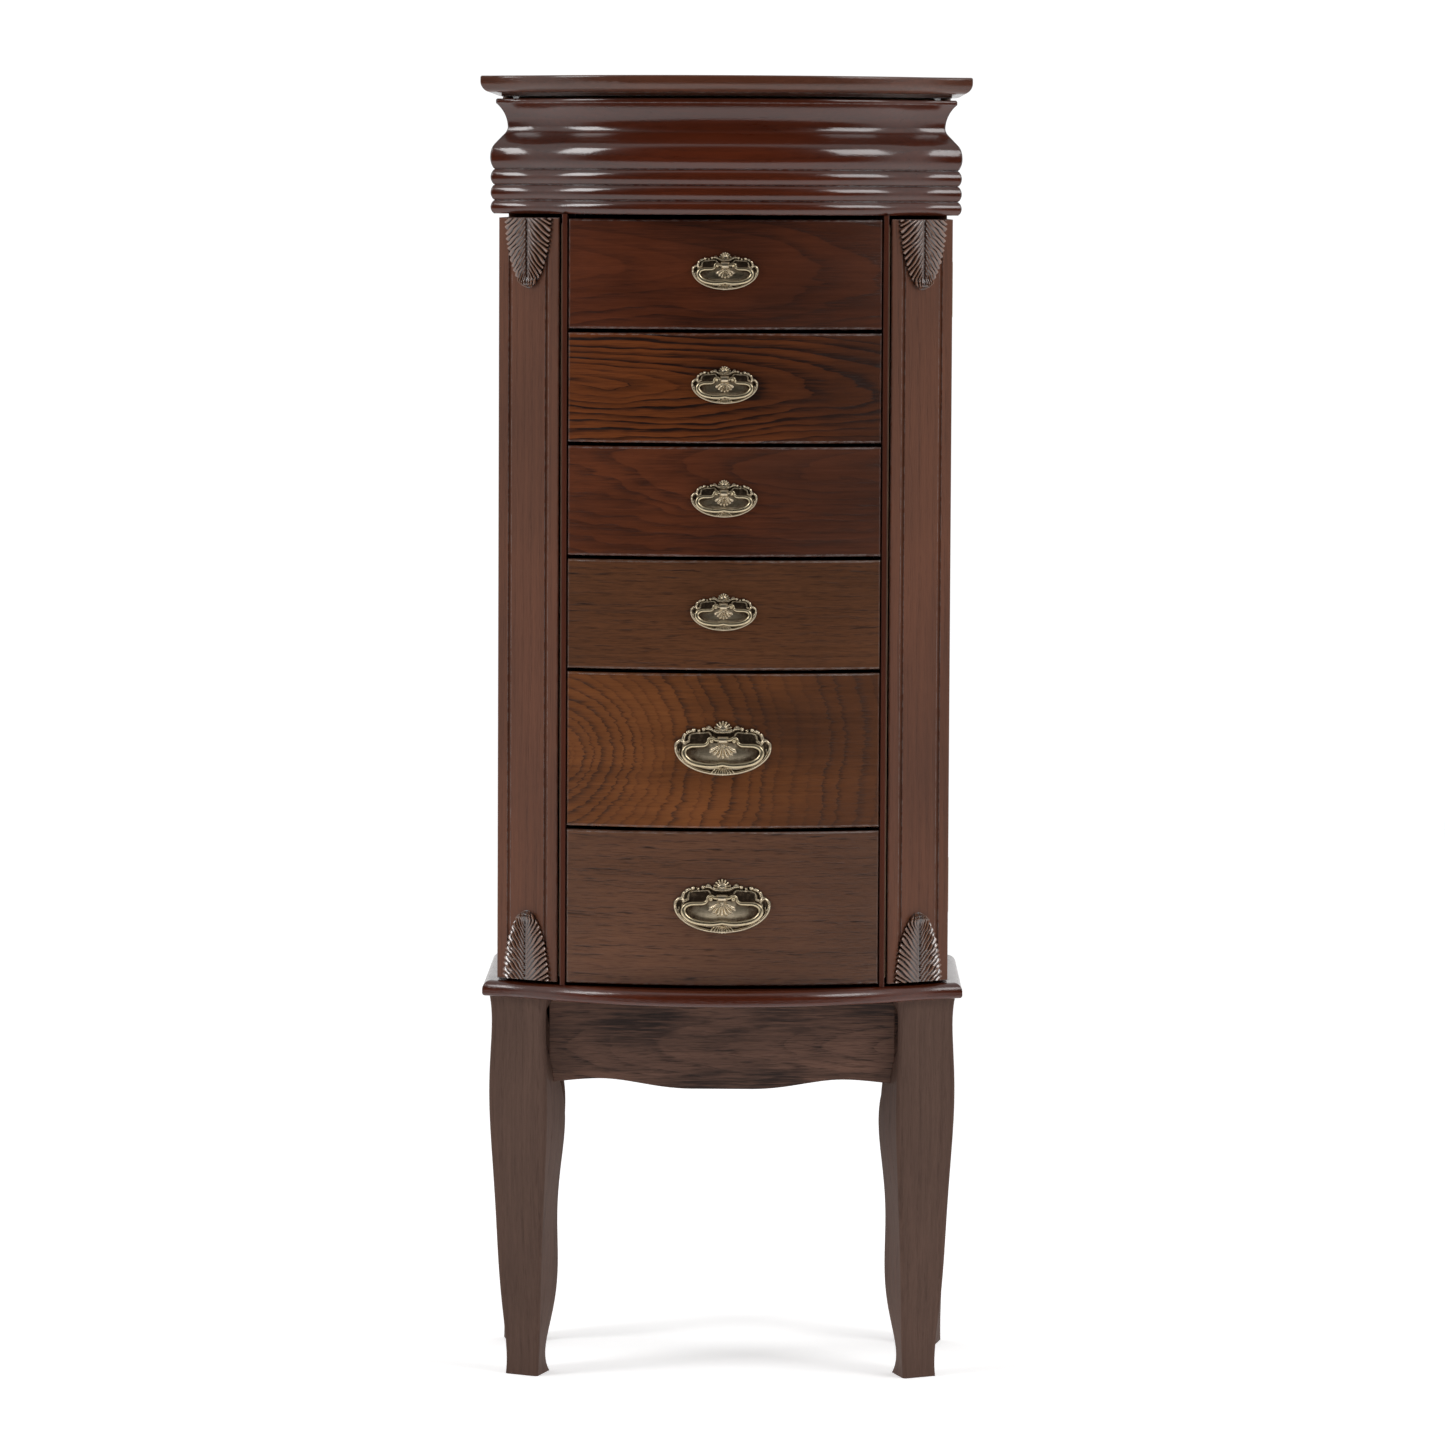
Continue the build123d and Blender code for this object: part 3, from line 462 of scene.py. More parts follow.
def ball(centre, radius, sides=14, rows=9):
    """Closed ball."""
    cap = 0.12                # half angle left to the fan at each end
    turns = circle(sides)
    return skin([centre + radius * columns(
        math.sin(polar) * np.cos(turns), -math.cos(polar), math.sin(polar) * np.sin(turns))
        for polar in np.linspace(cap, math.pi - cap, rows)])


def path_distance(x, z, path, closed=False):
    """Distance from each (x, z) to a path of points."""
    path = np.asarray(path, float)
    ends = np.roll(path, -1, axis=0) if closed else path[1:]
    starts = path if closed else path[:-1]
    nearest = np.full(x.shape, 1e9)
    for start, end in zip(starts, ends):
        run = end - start
        along = ((x - start[0]) * run[0] + (z - start[1]) * run[1]) / max(run @ run, 1e-9)
        along = np.clip(along, 0, 1)
        nearest = np.minimum(nearest, np.hypot(x - start[0] - along * run[0], z - start[1] - along * run[1]))
    return nearest


def half_round(distance, half_width, height):
    """Height of a half-round ridge at a distance from its middle."""
    return height * np.sqrt(np.clip(1 - (distance / half_width) ** 2, 0, None))


def smooth_step(value, start, end):
    """0 before start and 1 after end, with a smooth way between."""
    t = np.clip((value - start) / (end - start), 0, 1)
    return t * t * (3 - 2 * t)


# --- Pulls: cast backplates with a strap, and the bails that swing in them ---
# All of a pull is drawn at the size of the two large ones, with x and z from the middle of its plate.
LARGE_HALF = 38.0         # half width of a large plate
PLATE_LOW = 22.0          # from its middle down to its lower edge
PLATE_THICK = 1.0
PLATE_STEPS = 420
PLATE_RINGS = 46
PIN_FORWARD = 7.0         # bail pin in front of the drawer's face
PIN_HIGH = 0.28 * PLATE_LOW
SCREW_FACE_Y = -92.0      # inside of the drawer front, where the screw's head sits
SCREW_END_Y = -89.5
SCREW_SIDES = 24
THICKNESS_SHARE = 0.35    # share of a pull's thickness that does not shrink with its size


def both_sides(points):
    """Points and their mirror images across the middle."""
    return [(x, *rest) for x, *rest in points] + [(-x, *rest) for x, *rest in points]


# Round bosses that shape the plate's upper edge: (x, z, radius)
EDGE_BOSSES = both_sides([(34.9, 1.6, 2.9), (32.3, 4.9, 2.2), (29.4, 8.7, 2.1), (26.2, 11.5, 2.1),
                          (22.4, 13.3, 1.7), (18.6, 12.9, 1.4), (14.8, 14.0, 1.7), (10.9, 15.2, 1.9)])
PALMETTE_CENTRE = (0.0, 13.6)
PALMETTE_ANGLES = [math.radians(90 + 24 * step) for step in range(-3, 4)]
PALMETTE_REACH = 5.8
PALMETTE_TIP = 6.4
EDGE_BOSSES += [(PALMETTE_REACH * math.cos(turn), PALMETTE_CENTRE[1] + PALMETTE_REACH * math.sin(turn), 1.2)
                for turn in PALMETTE_ANGLES]

# Cast ridges on both halves of the plate: (points, half width, height)
RIDGES = [
    ([(30.6, -1.0), (29.5, -6.5), (24.5, -11.8), (16.0, -15.2), (8.0, -15.9), (2.8, -14.4), (0.0, -13.2)],
     1.3, 2.0),  # edge of the dish
    ([(30.6, -1.0), (29.8, 2.6), (26.6, 4.6)], 1.2, 1.9),  # its upper end
    ([(36.6, -0.5), (35.6, 3.2), (32.6, 5.4), (30.2, 4.0)], 1.3, 2.4),  # ear
    ([(33.4, -1.5), (33.6, -6.0), (31.0, -10.6)], 0.7, 1.2),  # cheek
    ([(30.6, 6.2), (29.4, 9.8), (25.6, 12.3), (22.4, 13.0)], 1.4, 2.2),  # shoulder
    ([(26.4, 6.4), (25.4, 9.4), (22.0, 10.9), (16.0, 11.2), (11.0, 11.6), (9.2, 9.6)], 0.8, 1.3),  # panel
    ([(12.6, 15.0), (9.0, 14.4), (5.5, 12.6), (0.0, 12.0)], 1.7, 3.0),  # brow
]
BEADS = EDGE_BOSSES[4:8]
BEAD_HEIGHT = 2.5
SHELL_ROOT = (0.0, 3.0)
SHELL_REACH = 10.2
SHELL_ANGLES = np.radians(-90 + 19.0 * np.arange(-3, 4))
FLUTE_ROOT_Z = -10.0      # the fan of flutes along the lower edge
FLUTE_ANGLES = np.radians(-90 + 9.0 * np.arange(-4, 5))


def plate_radius(turns):
    """Distance from the plate's centre to its outline, for each direction."""
    ways = np.column_stack([np.cos(turns), np.sin(turns)])
    high = np.where(ways[:, 1] > 0, 14.2, PLATE_LOW - 0.2)
    reach = 1 / np.sqrt((ways[:, 0] / (LARGE_HALF - 0.4)) ** 2 + (ways[:, 1] / high) ** 2)
    for x, z, radius in EDGE_BOSSES:
        middle = ways @ (x, z)
        inside = middle**2 - x * x - z * z + radius**2
        exit_at = middle + np.sqrt(np.clip(inside, 0, None))
        reach = np.where((inside > 0) & (middle > 0), np.maximum(reach, exit_at), reach)
    return reach


def plate_relief(x, z, outline):
    """Height of the cast ornament above the drawer's face."""
    side = np.abs(x)
    shape = half_round(path_distance(x, z, outline, closed=True) - 1.3, 1.4, 1.7) * smooth_step(-z, -6.0, 0.0)

    def raised(distance, half_width, height):
        return np.maximum(shape, half_round(distance, half_width, height))

    for points, half_width, height in RIDGES:
        shape = raised(path_distance(side, z, curve_through(points)), half_width, height)
    for bead_x, bead_z, radius in BEADS:
        shape = raised(np.hypot(side - bead_x, z - bead_z), radius, BEAD_HEIGHT)
    for turn in PALMETTE_ANGLES:
        tip = (PALMETTE_CENTRE[0] + PALMETTE_TIP * math.cos(turn),
               PALMETTE_CENTRE[1] + PALMETTE_TIP * math.sin(turn))
        shape = raised(path_distance(x, z, [PALMETTE_CENTRE, tip]), 0.95, 2.4)
    shell = half_round(np.hypot(x, (z - 1.5) * 0.95), 11.5, 1.4) * 0.8
    shape = np.maximum(shape, np.where(z < 3.5, shell, 0.0))
    reach = np.clip(np.hypot(x, z - SHELL_ROOT[1]), 0, 10)
    for turn in SHELL_ANGLES:
        tip = (SHELL_REACH * math.cos(turn), SHELL_ROOT[1] + SHELL_REACH * math.sin(turn))
        rib = half_round(path_distance(x, z, [SHELL_ROOT, tip]), 0.35 + 0.1 * reach, 1.2)
        shape = np.maximum(shape, np.where(rib > 0, rib + shell, 0.0))
    for turn in FLUTE_ANGLES:
        root = (6.0 * math.cos(turn), FLUTE_ROOT_Z + 6.0 * math.sin(turn))
        tip = (15.0 * math.cos(turn), FLUTE_ROOT_Z + 11.6 * math.sin(turn))
        shape = raised(path_distance(x, z, [root, tip]), 0.62, 1.9)
    return PLATE_THICK + np.maximum(shape, 0.9 * plate_dish(x, z))


def plate_dish(x, z):
    """How near a point is to the middle of the dish inside the bail, from 0 to 1."""
    return np.clip(1 - (x / 29.0) ** 2 - ((z + 5.5) / 8.5) ** 2, 0, 1)


def bowed_face_y(x):
    """Y of a drawer's bowed front face."""
    return drawer_face_y + DRAWER_BOW_RADIUS - np.sqrt(DRAWER_BOW_RADIUS**2 - np.square(x))


plate_turns = circle(PLATE_STEPS)
plate_reach = plate_radius(plate_turns)
plate_outline = np.column_stack([plate_reach * np.cos(plate_turns), plate_reach * np.sin(plate_turns)])
plate_shares = 1 - (1 - np.linspace(0.02, 1.0, PLATE_RINGS)) ** 1.25
plate_x = np.outer(plate_shares, plate_outline[:, 0])
plate_z = np.outer(plate_shares, plate_outline[:, 1])
plate_height = plate_relief(plate_x, plate_z, plate_outline)


def thickness(scale):
    """A pull's thickness against a large one's: less than in proportion to its size."""
    return THICKNESS_SHARE + (1 - THICKNESS_SHARE) * scale


def plate_centre_z(number):
    """Height of a pull's middle, from its CAD node."""
    low, high = box_mm(f"pull_{number}")
    return (low[2] + high[2]) / 2


def strap_shape(pin_y, pin_z, half, hoop):
    """Strap bent round the pin: half its width, and the radius of the bend."""
    section = ((-1, 1.0, 0.75), (-1, 0.92, 1.0), (-1, 0.5, 1.03), (1, 0.5, 1.03), (1, 0.92, 1.0),
               (1, 1.0, 0.75), (1, 0.6, 0.5), (-1, 0.6, 0.5))
    rings = []
    for turn in np.linspace(math.radians(100), math.radians(-100), 17):
        waist = half * (0.8 + 0.3 * abs(math.sin(turn)) ** 2)
        rings.append([(side * waist * share, pin_y - math.cos(turn) * hoop * depth,
                       pin_z + math.sin(turn) * hoop * depth) for side, share, depth in section])
    return skin(rings)


def screw_shape(centre_z):
    """The screw that holds a pull, with its washer head inside the drawer front."""
    profile = [(0.4, SCREW_END_Y), (2.6, SCREW_END_Y), (3.7, SCREW_END_Y - 0.6), (4.0, SCREW_END_Y - 1.4),
               (4.0, SCREW_FACE_Y), (1.8, SCREW_FACE_Y), (1.8, drawer_face_y + 0.5)]
    turns = circle(SCREW_SIDES)
    return skin([columns(radius * np.cos(turns), y, centre_z + radius * np.sin(turns))
                 for radius, y in profile])


def pull_shape(number, scale):
    """Backplate, strap and screw of one pull, with its relief values."""
    centre_z = plate_centre_z(number)
    grow = thickness(scale)
    x = plate_x * scale
    front = np.stack([x, bowed_face_y(x) - plate_height * grow, centre_z + plate_z * scale], axis=-1)
    back = front[-1].copy()
    back[:, 1] = bowed_face_y(back[:, 0]) + 0.05
    plate = skin(np.concatenate([front, [back]]))
    rubbed = (plate_height - PLATE_THICK) / 1.9 + 0.42 * plate_dish(plate_x, plate_z)
    pin_y = drawer_face_y - PIN_FORWARD
    pin_z = centre_z + PIN_HIGH * scale
    hoop = 3.1 if scale == 1 else 2.6
    half = 4.0 * grow
    posts = [tube([(0, pin_y + 0.5, pin_z + rise), (0, drawer_face_y + 0.4, pin_z + rise)], radius, sides=16)
             for rise, radius in ((hoop * 0.85, half * 0.75), (-hoop * 0.75, half * 0.6))]
    pins = [tube([(side * 1.0, pin_y, pin_z), (side * (half + 1.0), pin_y, pin_z)], 1.1, sides=12)
            for side in (-1, 1)]
    others = joined([strap_shape(pin_y, pin_z, half, hoop), *posts, *pins, screw_shape(centre_z)])
    relief = [np.clip(rubbed.ravel(), 0, 1), np.zeros(PLATE_STEPS), [0.5, 0.0], np.full(len(others[0]), 0.8)]
    return joined([plate, others]), np.concatenate(relief)


# Right half of the large bail, from the strap to the middle of its lower run, as (x, height over the
# pin, radius)
BAIL_LINE = [(3.2, 0.0, 1.5), (6.0, 0.4, 1.25), (8.6, 1.7, 1.1), (10.9, 0.6, 1.05), (11.8, -2.2, 1.1),
             (14.2, -4.0, 1.35), (19.0, -4.3, 1.5), (24.5, -4.6, 1.6), (28.7, -6.6, 1.8), (30.1, -10.2, 2.0),
             (28.2, -14.2, 2.2), (23.5, -17.6, 2.25), (16.0, -19.5, 2.15), (8.0, -20.0, 2.0),
             (3.0, -19.5, 1.95), (0.0, -18.9, 1.9)]
VOLUTE = (8.7, -0.9, 1.55)


def bail_shape(number, scale):
    """One bail hanging from its pin, with a volute beside the strap on each side."""
    pin_y = drawer_face_y - PIN_FORWARD
    pin_z = plate_centre_z(number) + PIN_HIGH * scale
    right = np.array(BAIL_LINE)
    left = (right * (-1, 1, 1))[-2::-1]
    line = curve_through(np.vstack([right, left]), per_span=7)
    grow = thickness(scale)
    spots = columns(line[:, 0] * scale, pin_y, pin_z + line[:, 1] * scale)
    loop = tube(spots, line[:, 2] * grow, sides=14, flat=0.85)
    x, rise, radius = VOLUTE
    volutes = [ball((side * x * scale, pin_y - 0.5, pin_z + rise * scale), radius * grow) for side in (-1, 1)]
    return joined([loop, *volutes])


def attribute(s, name):
    """A value stored on the mesh."""
    return s.node("Attribute", attribute_name=name).outputs["Fac"]


def antique_brass(name, bright, dark, relief=True):
    """Rubbed brass: bright on what stands proud, with dark patina and stippling in the hollows."""
    s = Shader(name, Metallic=1.0)
    grains = s.grain(1900.0, 2.0, 0.6)
    blotch = s.grain(260.0, 2.0, 0.6)
    proud = attribute(s, "relief") if relief else 0.85
    rubbed = s.sum(proud, s.times(s.centred(grains), 0.5), s.times(s.centred(blotch), 0.7))
    s.drive("Base Color", s.ramp(rubbed, [(0.0, dark), (0.2, scaled(dark, 3.2)), (0.62, bright),
                                          (1.0, scaled(bright, 1.35))]))
    s.drive("Roughness", s.math("SUBTRACT", 0.52, s.times(rubbed, 0.26)))
    s.bump(grains, 0.00006)
    return s.material


# --- Carved leaves on the pilasters ---
PILASTER_INNER = np.array([128.0, -98.0])
PILASTER_OUTER = np.array([176.0, -67.0])
LEAF_LENGTH = 54.0
LEAF_HALF_WIDTH = 20.5
LEAF_ROWS = 170
LEAF_COLUMNS = 81
LEAF_TAPER = 0.55         # share of the width lost towards the tip
LEAF_EDGE = 0.9           # thickness at the edge
LEAF_DOME = 2.4           # and how much more there is in the middle
RIB_HEIGHT = 2.2
MIDRIB_DEPTH = 0.9
CURL_HEIGHT = 1.3         # of the curl just short of the tip
SCALLOP = 0.17            # share by which the fronds swell the outline
FRONDS = 13.0             # along one side of a leaf
FROND_SWEEP = 0.36        # how far each runs towards the tip, as a share of the leaf


def frond_profile(place):
    """Height across one frond, from 0 to 1, leaning towards the tip."""
    share = np.mod(place, 1.0)
    return np.sin(math.pi * share**0.75) ** 0.8


def leaf_shape(side, root_z, way):
    """One leaf from its straight root to its curled tip, with its relief values; way is -1 down or 1 up.

    along runs from root to tip and out from the midrib to the edge, both from 0 to 1. place counts the
    fronds, crest is the height across each, and swell is how far they stand clear of the midrib.
    """
    along = np.linspace(0, 1, LEAF_ROWS)[:, None]
    across = np.sin(np.linspace(-1, 1, LEAF_COLUMNS) * math.pi / 2)[None, :]
    out = np.abs(across)
    wave = 0.16 * np.sin(along * 17.0) + 0.1 * np.sin(along * 41.0 + 3.0 * across)
    place = (along - FROND_SWEEP * out**0.7) * FRONDS + 0.7 * wave + 0.3 * (across > 0)
    crest = frond_profile(place)
    width = LEAF_HALF_WIDTH * (1 - LEAF_TAPER * along**1.7) * np.maximum(1 - along**7, 0.0004) ** 0.5
    width = width * (1 + SCALLOP * (crest - 0.6) * out**3)
    reach = out * width
    swell = smooth_step(out, 0.05, 0.7)
    dome = LEAF_EDGE + LEAF_DOME * np.maximum(1 - out**2.0, 0) ** 0.7
    body = dome * (0.75 + 0.25 * smooth_step(width, 0.0, 9.0))
    veins = np.sin(2 * math.pi * place * 3) + 0.6 * np.sin(2 * math.pi * place * 5 + 9.0 * out)
    ribs = RIB_HEIGHT * (0.2 + 0.8 * swell) * (crest - 0.55) + 0.07 * veins
    midrib = -MIDRIB_DEPTH * np.exp(-((reach / 0.8) ** 2))
    curl = CURL_HEIGHT * np.exp(-((along - 0.92) / 0.05) ** 2)
    fade = smooth_step(1 - along, 0.0, 0.05)
    height = np.maximum(0.4, (body + ribs + midrib + curl) * fade + 0.5)
    run = (PILASTER_OUTER - PILASTER_INNER) / np.linalg.norm(PILASTER_OUTER - PILASTER_INNER)
    normal = np.array([run[1], -run[0]])
    centre = (PILASTER_INNER + PILASTER_OUTER) / 2
    slide = across * width
    z = root_z + way * along * LEAF_LENGTH + np.zeros_like(slide)

    def placed(offset):
        x = centre[0] + slide * run[0] + offset * normal[0]
        y = centre[1] + slide * run[1] + offset * normal[1]
        return np.stack([side * x, y, z], axis=-1)

    front = placed(height)
    back = placed(np.full_like(slide, -0.1))[:, ::-1]
    # The relief values paint the light on the carving: painted shade in the grooves between fronds and in the
    # midrib valley, and painted light on the frond crests.
    midrib_shade = 0.35 * np.exp(-((reach / 0.5) ** 2))
    relief = 0.04 + 0.96 * crest**1.5 * swell + 0.08 * veins + (0.3 + 0.3 * crest) * (1 - swell) - midrib_shade
    relief = np.clip(relief, 0, 1)
    values = np.concatenate([relief, np.zeros_like(relief)], axis=1).ravel()
    return skin(np.concatenate([front, back], axis=1)), np.append(values, [0.3, 0.3])


# --- Velvet pieces ---
BASE_HALF_WIDTH = box_mm("base_board")[1][0]
TRAY_OFFSET = -26.8       # the tray floor's plan, inside the base board's plan
BAND_OFFSETS = (-26.1, -26.7)  # the outer and inner face of the velvet round the tray's wall
DIVIDER_X = 76.0
DIVIDER_Y = 22.0


def plan_front_y(x, offset):
    """Front of the shared serpentine plan at each x, offset outwards."""
    side = np.abs(x)
    bow = BOW_RADIUS + offset
    reach = RETURN_RADIUS - offset
    middle = bow_centre_y - np.sqrt(np.maximum(bow**2 - side**2, 0))
    corner = return_centre_y + np.sqrt(np.maximum(reach**2 - (return_centre_x - side) ** 2, 0))
    return np.where(side <= bow * math.sin(BOW_ANGLE), middle, corner)


def plan_loop(offset, rear_y, z):
    """Closed loop of points round the plan at a height."""
    half = BASE_HALF_WIDTH + offset
    x = np.linspace(-half, half, 121)
    front = np.column_stack([x, plan_front_y(x, offset)])
    side_y = np.linspace(front[-1][1], rear_y, 12)[1:]
    right = columns(half, side_y)
    back_x = np.linspace(half, -half, 40)[1:]
    back = columns(back_x, rear_y)
    left = (right * (-1, 1))[::-1][1:]
    flat = np.vstack([front, right, back, left])
    return np.column_stack([flat, np.full(len(flat), z)])


def rounded_rectangle(low, high, inset, radius, z, per_corner=7):
    """Closed loop of points round a rectangle with round corners, inset on every side."""
    low_x, low_y, high_x, high_y = low[0] + inset, low[1] + inset, high[0] - inset, high[1] - inset
    points = []
    for x, y, start in ((high_x, low_y, -90), (high_x, high_y, 0), (low_x, high_y, 90), (low_x, low_y, 180)):
        centre_x = x - math.copysign(radius, x - (low_x + high_x) / 2)
        centre_y = y - math.copysign(radius, y - (low_y + high_y) / 2)
        for turn in np.radians(np.linspace(start, start + 90, per_corner)):
            points.append((centre_x + radius * math.cos(turn), centre_y + radius * math.sin(turn), z))
    return np.array(points)


def open_tray(low, high, wall, radius=3.0):
    """Thin open tray: a lining that covers the inside of a box."""
    inside = max(radius - wall, 0.5)
    half = wall / 2
    fillet = 1.2
    return skin([rounded_rectangle(low, high, inset, corner, z) for inset, corner, z in (
        (0.0, radius, low[2]), (0.0, radius, high[2] - half), (half, radius - half, high[2]),
        (wall, inside, high[2] - half), (wall, inside, low[2] + wall + fillet),
        (wall + fillet, inside, low[2] + wall))])


def pad_shape():
    """Padded floor of the tray: full between its edges, and pressed down along the dividers."""
    low, high = box_mm("tray_lining")
    half = BASE_HALF_WIDTH + TRAY_OFFSET
    edge_sink, edge_reach = 0.35, 3.0
    press_sink, press_reach = 0.18, 4.5
    rows = []
    x = np.sin(np.linspace(-math.pi / 2, math.pi / 2, 91)) * half
    front = plan_front_y(x, TRAY_OFFSET)
    for share in (1 - np.cos(np.linspace(0, math.pi, 71))) / 2:
        y = front + (high[1] - front) * share
        to_edge = np.minimum(np.minimum(y - front, high[1] - y), half - np.abs(x))
        press = (np.exp(-((np.abs(x) - DIVIDER_X) / press_reach) ** 2)
                 + np.exp(-((y - DIVIDER_Y) / press_reach) ** 2))
        full = 1 - edge_sink * np.exp(-to_edge / edge_reach) - press_sink * np.minimum(press, 1.0)
        upper = columns(x, y, low[2] + (high[2] - low[2]) * full)
        lower = columns(x, y, low[2])[::-1]
        rows.append(np.vstack([upper, lower]))
    return skin(rows)


def squared(value):
    """A sine or cosine pushed outwards, so that a circle becomes a slightly square one."""
    return np.sign(value) * np.abs(value) ** 0.85


def roll_shape(middle_y, half_length, low_z, high_z, phase):
    """One padded ring roll, plump and a little uneven, with gathered ends."""
    steps = 36
    gathers = 12
    half_deep = 5.55
    turns = circle(steps)
    half_high = (high_z - low_z) / 2
    near_end = np.array([0.0, 0.35, 1.0, 2.2, 4.0])
    stations = np.concatenate([near_end, np.linspace(8, 2 * half_length - 8, 40),
                               2 * half_length - near_end[::-1]])
    rings = []
    for station in stations:
        end = min(station, 2 * half_length - station)
        plump = math.sqrt(1 - max(0.0, 1 - (end + 0.3) / 3.6) ** 2)
        gather = 1 + 0.05 * np.cos(turns * gathers) * math.exp(-end / 2.5)
        sway = 0.18 * math.sin(station / 11.0 + phase) + 0.1 * math.sin(station / 4.3 + 2 * phase)
        y = middle_y + (half_deep + 0.6 * sway) * plump * gather * squared(np.cos(turns))
        z = low_z + half_high + (half_high - 0.15 + 0.5 * sway) * plump * gather * squared(np.sin(turns))
        rings.append(columns(station - half_length, y, np.maximum(z, low_z)))
    return skin(rings)


def disc_shape(centre, radius, low_z, high_z):
    """Round pad with soft edges."""
    steps = 28
    turns = circle(steps)
    rise = high_z - low_z
    profile = [(0.3, low_z), (0.92, low_z), (1.0, low_z + 0.2 * rise), (1.02, low_z + 0.5 * rise),
               (0.98, low_z + 0.8 * rise), (0.85, high_z), (0.3, high_z)]
    return skin([columns(centre[0] + radius * share * np.cos(turns),
                         centre[1] + radius * share * np.sin(turns), z) for share, z in profile])


def slab(low, high, radius=2.0):
    """Thin upright panel in the YZ plane, with round corners and soft edges."""
    rim = 0.3
    return skin([rounded_rectangle(low[1:], high[1:], inset, radius, x)[:, [2, 0, 1]] for x, inset in (
        (low[0], rim), (low[0] + rim, 0.0), (high[0] - rim, 0.0), (high[0], rim))])


# --- Velvet, carving, metal, glass and plastic ---
def velvet(name, colour, deep):
    """Cotton velvet: soft sheen, with brushed patches where the pile leans another way."""
    s = Shader(name, Sheen_Weight=0.8, Sheen_Roughness=0.35, Specular_IOR_Level=0.15)
    brushed = s.grain((26.0, 60.0, 26.0), 3.0, 0.55)
    pile = s.grain(2600.0, 2.0, 0.7)
    shade = s.sum(s.times(brushed, 0.75), s.times(pile, 0.35))
    s.drive("Base Color", s.ramp(shade, [(0.1, deep), (0.85, colour)]))
    s.drive("Roughness", s.sum(s.times(pile, 0.2), 0.75))
    s.bump(pile, 0.00025)
    return s.material


def carved_wood(name):
    """Glossy lacquered carving, with painted shade in its hollows and painted light on its crests."""
    s = Shader(name, Coat_Weight=1.0, Coat_Roughness=0.09, Coat_IOR=1.7, Specular_IOR_Level=0.3)
    grain = s.grain((300.0, 300.0, 40.0), 3.0, 0.6)
    # The relief values carry the painted shade of the hollows and the painted light of the crests.
    proud = s.sum(attribute(s, "relief"), s.times(s.centred(grain), 0.35))
    s.drive("Base Color", s.ramp(proud, [(0.15, srgb(14, 7, 5)), (0.45, srgb(58, 34, 24)),
                                         (0.95, srgb(122, 84, 62))]))
    s.drive("Roughness", s.sum(s.times(grain, 0.2), 0.22))
    s.bump(grain, 0.00008, coat=True)
    return s.material


def plain_metal(name, bright, dark, rough):
    """Brushed and lightly tarnished metal."""
    s = Shader(name, Metallic=1.0)
    brushed = s.grain((900.0, 900.0, 90.0), 2.0, 0.6)
    tarnish = s.grain(120.0, 3.0, 0.6)
    mottle = s.sum(s.times(tarnish, 0.8), s.times(brushed, 0.25))
    s.drive("Base Color", s.ramp(mottle, [(0.3, dark), (0.75, bright)]))
    s.drive("Roughness", s.sum(s.times(brushed, 0.25), rough - 0.1))
    s.bump(brushed, 0.00003)
    return s.material


def mirror_glass():
    """Silvered glass with the faintest haze."""
    s = Shader("mirror_glass", Metallic=1.0)
    haze = s.grain(14.0, 3.0, 0.6)
    s.drive("Base Color", s.ramp(haze, [(0.3, (0.84, 0.87, 0.86)), (0.7, (0.9, 0.92, 0.92))]))
    s.drive("Roughness", s.times(haze, 0.05))
    return s.material


def moulded_plastic():
    """Dark brown plastic with a fine moulded texture."""
    s = Shader("catch_plastic", Specular_IOR_Level=0.4)
    texture = s.grain(1500.0, 2.0, 0.6)
    tone = s.grain(60.0)
    s.drive("Base Color", s.ramp(tone, [(0.3, srgb(40, 26, 20)), (0.7, srgb(52, 35, 27))]))
    s.drive("Roughness", s.sum(s.times(texture, 0.25), 0.35))
    s.bump(texture, 0.00005)
    return s.material


# --- Pieces that stand for plain CAD nodes ---
pull_brass = antique_brass("antique_brass", srgb(180, 166, 142), srgb(60, 50, 40))
bail_brass = antique_brass("bail_brass", srgb(176, 162, 134), srgb(62, 52, 38), relief=False)
for number in DRAWERS:
    scale = box_mm(f"pull_{number}")[1][0] / LARGE_HALF
    shape, relief = pull_shape(number, scale)
    pull = piece(f"backplate_{number}", shape, pull_brass, f"drawer_{number}", relief)
    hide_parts(f"pull_{number}")
    bail = piece(f"bail_ring_{number}", bail_shape(number, scale), bail_brass, f"bail_{number}")
    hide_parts(f"bail_{number}")

carving = carved_wood("carved_mahogany")
for side_name, side in SIDES.items():
    low, high = box_mm(f"leaves_{side_name}")
    shapes = [leaf_shape(side, high[2], -1), leaf_shape(side, low[2], 1)]
    leaves = piece(f"carved_leaves_{side_name}", joined([shape for shape, relief in shapes]), carving,
                   f"door_{side_name}", np.concatenate([relief for shape, relief in shapes]), sharp=70.0)
    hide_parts(f"leaves_{side_name}")

lining_velvet = velvet("lining_velvet", srgb(150, 122, 96), srgb(96, 74, 56))
roll_velvet = velvet("roll_velvet", srgb(158, 130, 103), srgb(104, 82, 62))
tray_pad = piece("tray_pad", pad_shape(), lining_velvet, "cabinet")
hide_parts("tray_lining")

ROLL_COUNT = 8
ROLL_HALF = 5.8
rolls_low, rolls_high = box_mm("ring_rolls")
roll_pitch = (rolls_high[1] - rolls_low[1] - 2 * ROLL_HALF) / (ROLL_COUNT - 1)
roll_shapes = [roll_shape(rolls_low[1] + ROLL_HALF + index * roll_pitch, rolls_high[0], rolls_low[2],
                          rolls_high[2], 1.7 * index) for index in range(ROLL_COUNT)]
rolls = piece("padded_ring_rolls", joined(roll_shapes), roll_velvet, "cabinet", sharp=80.0)
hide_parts("ring_rolls")

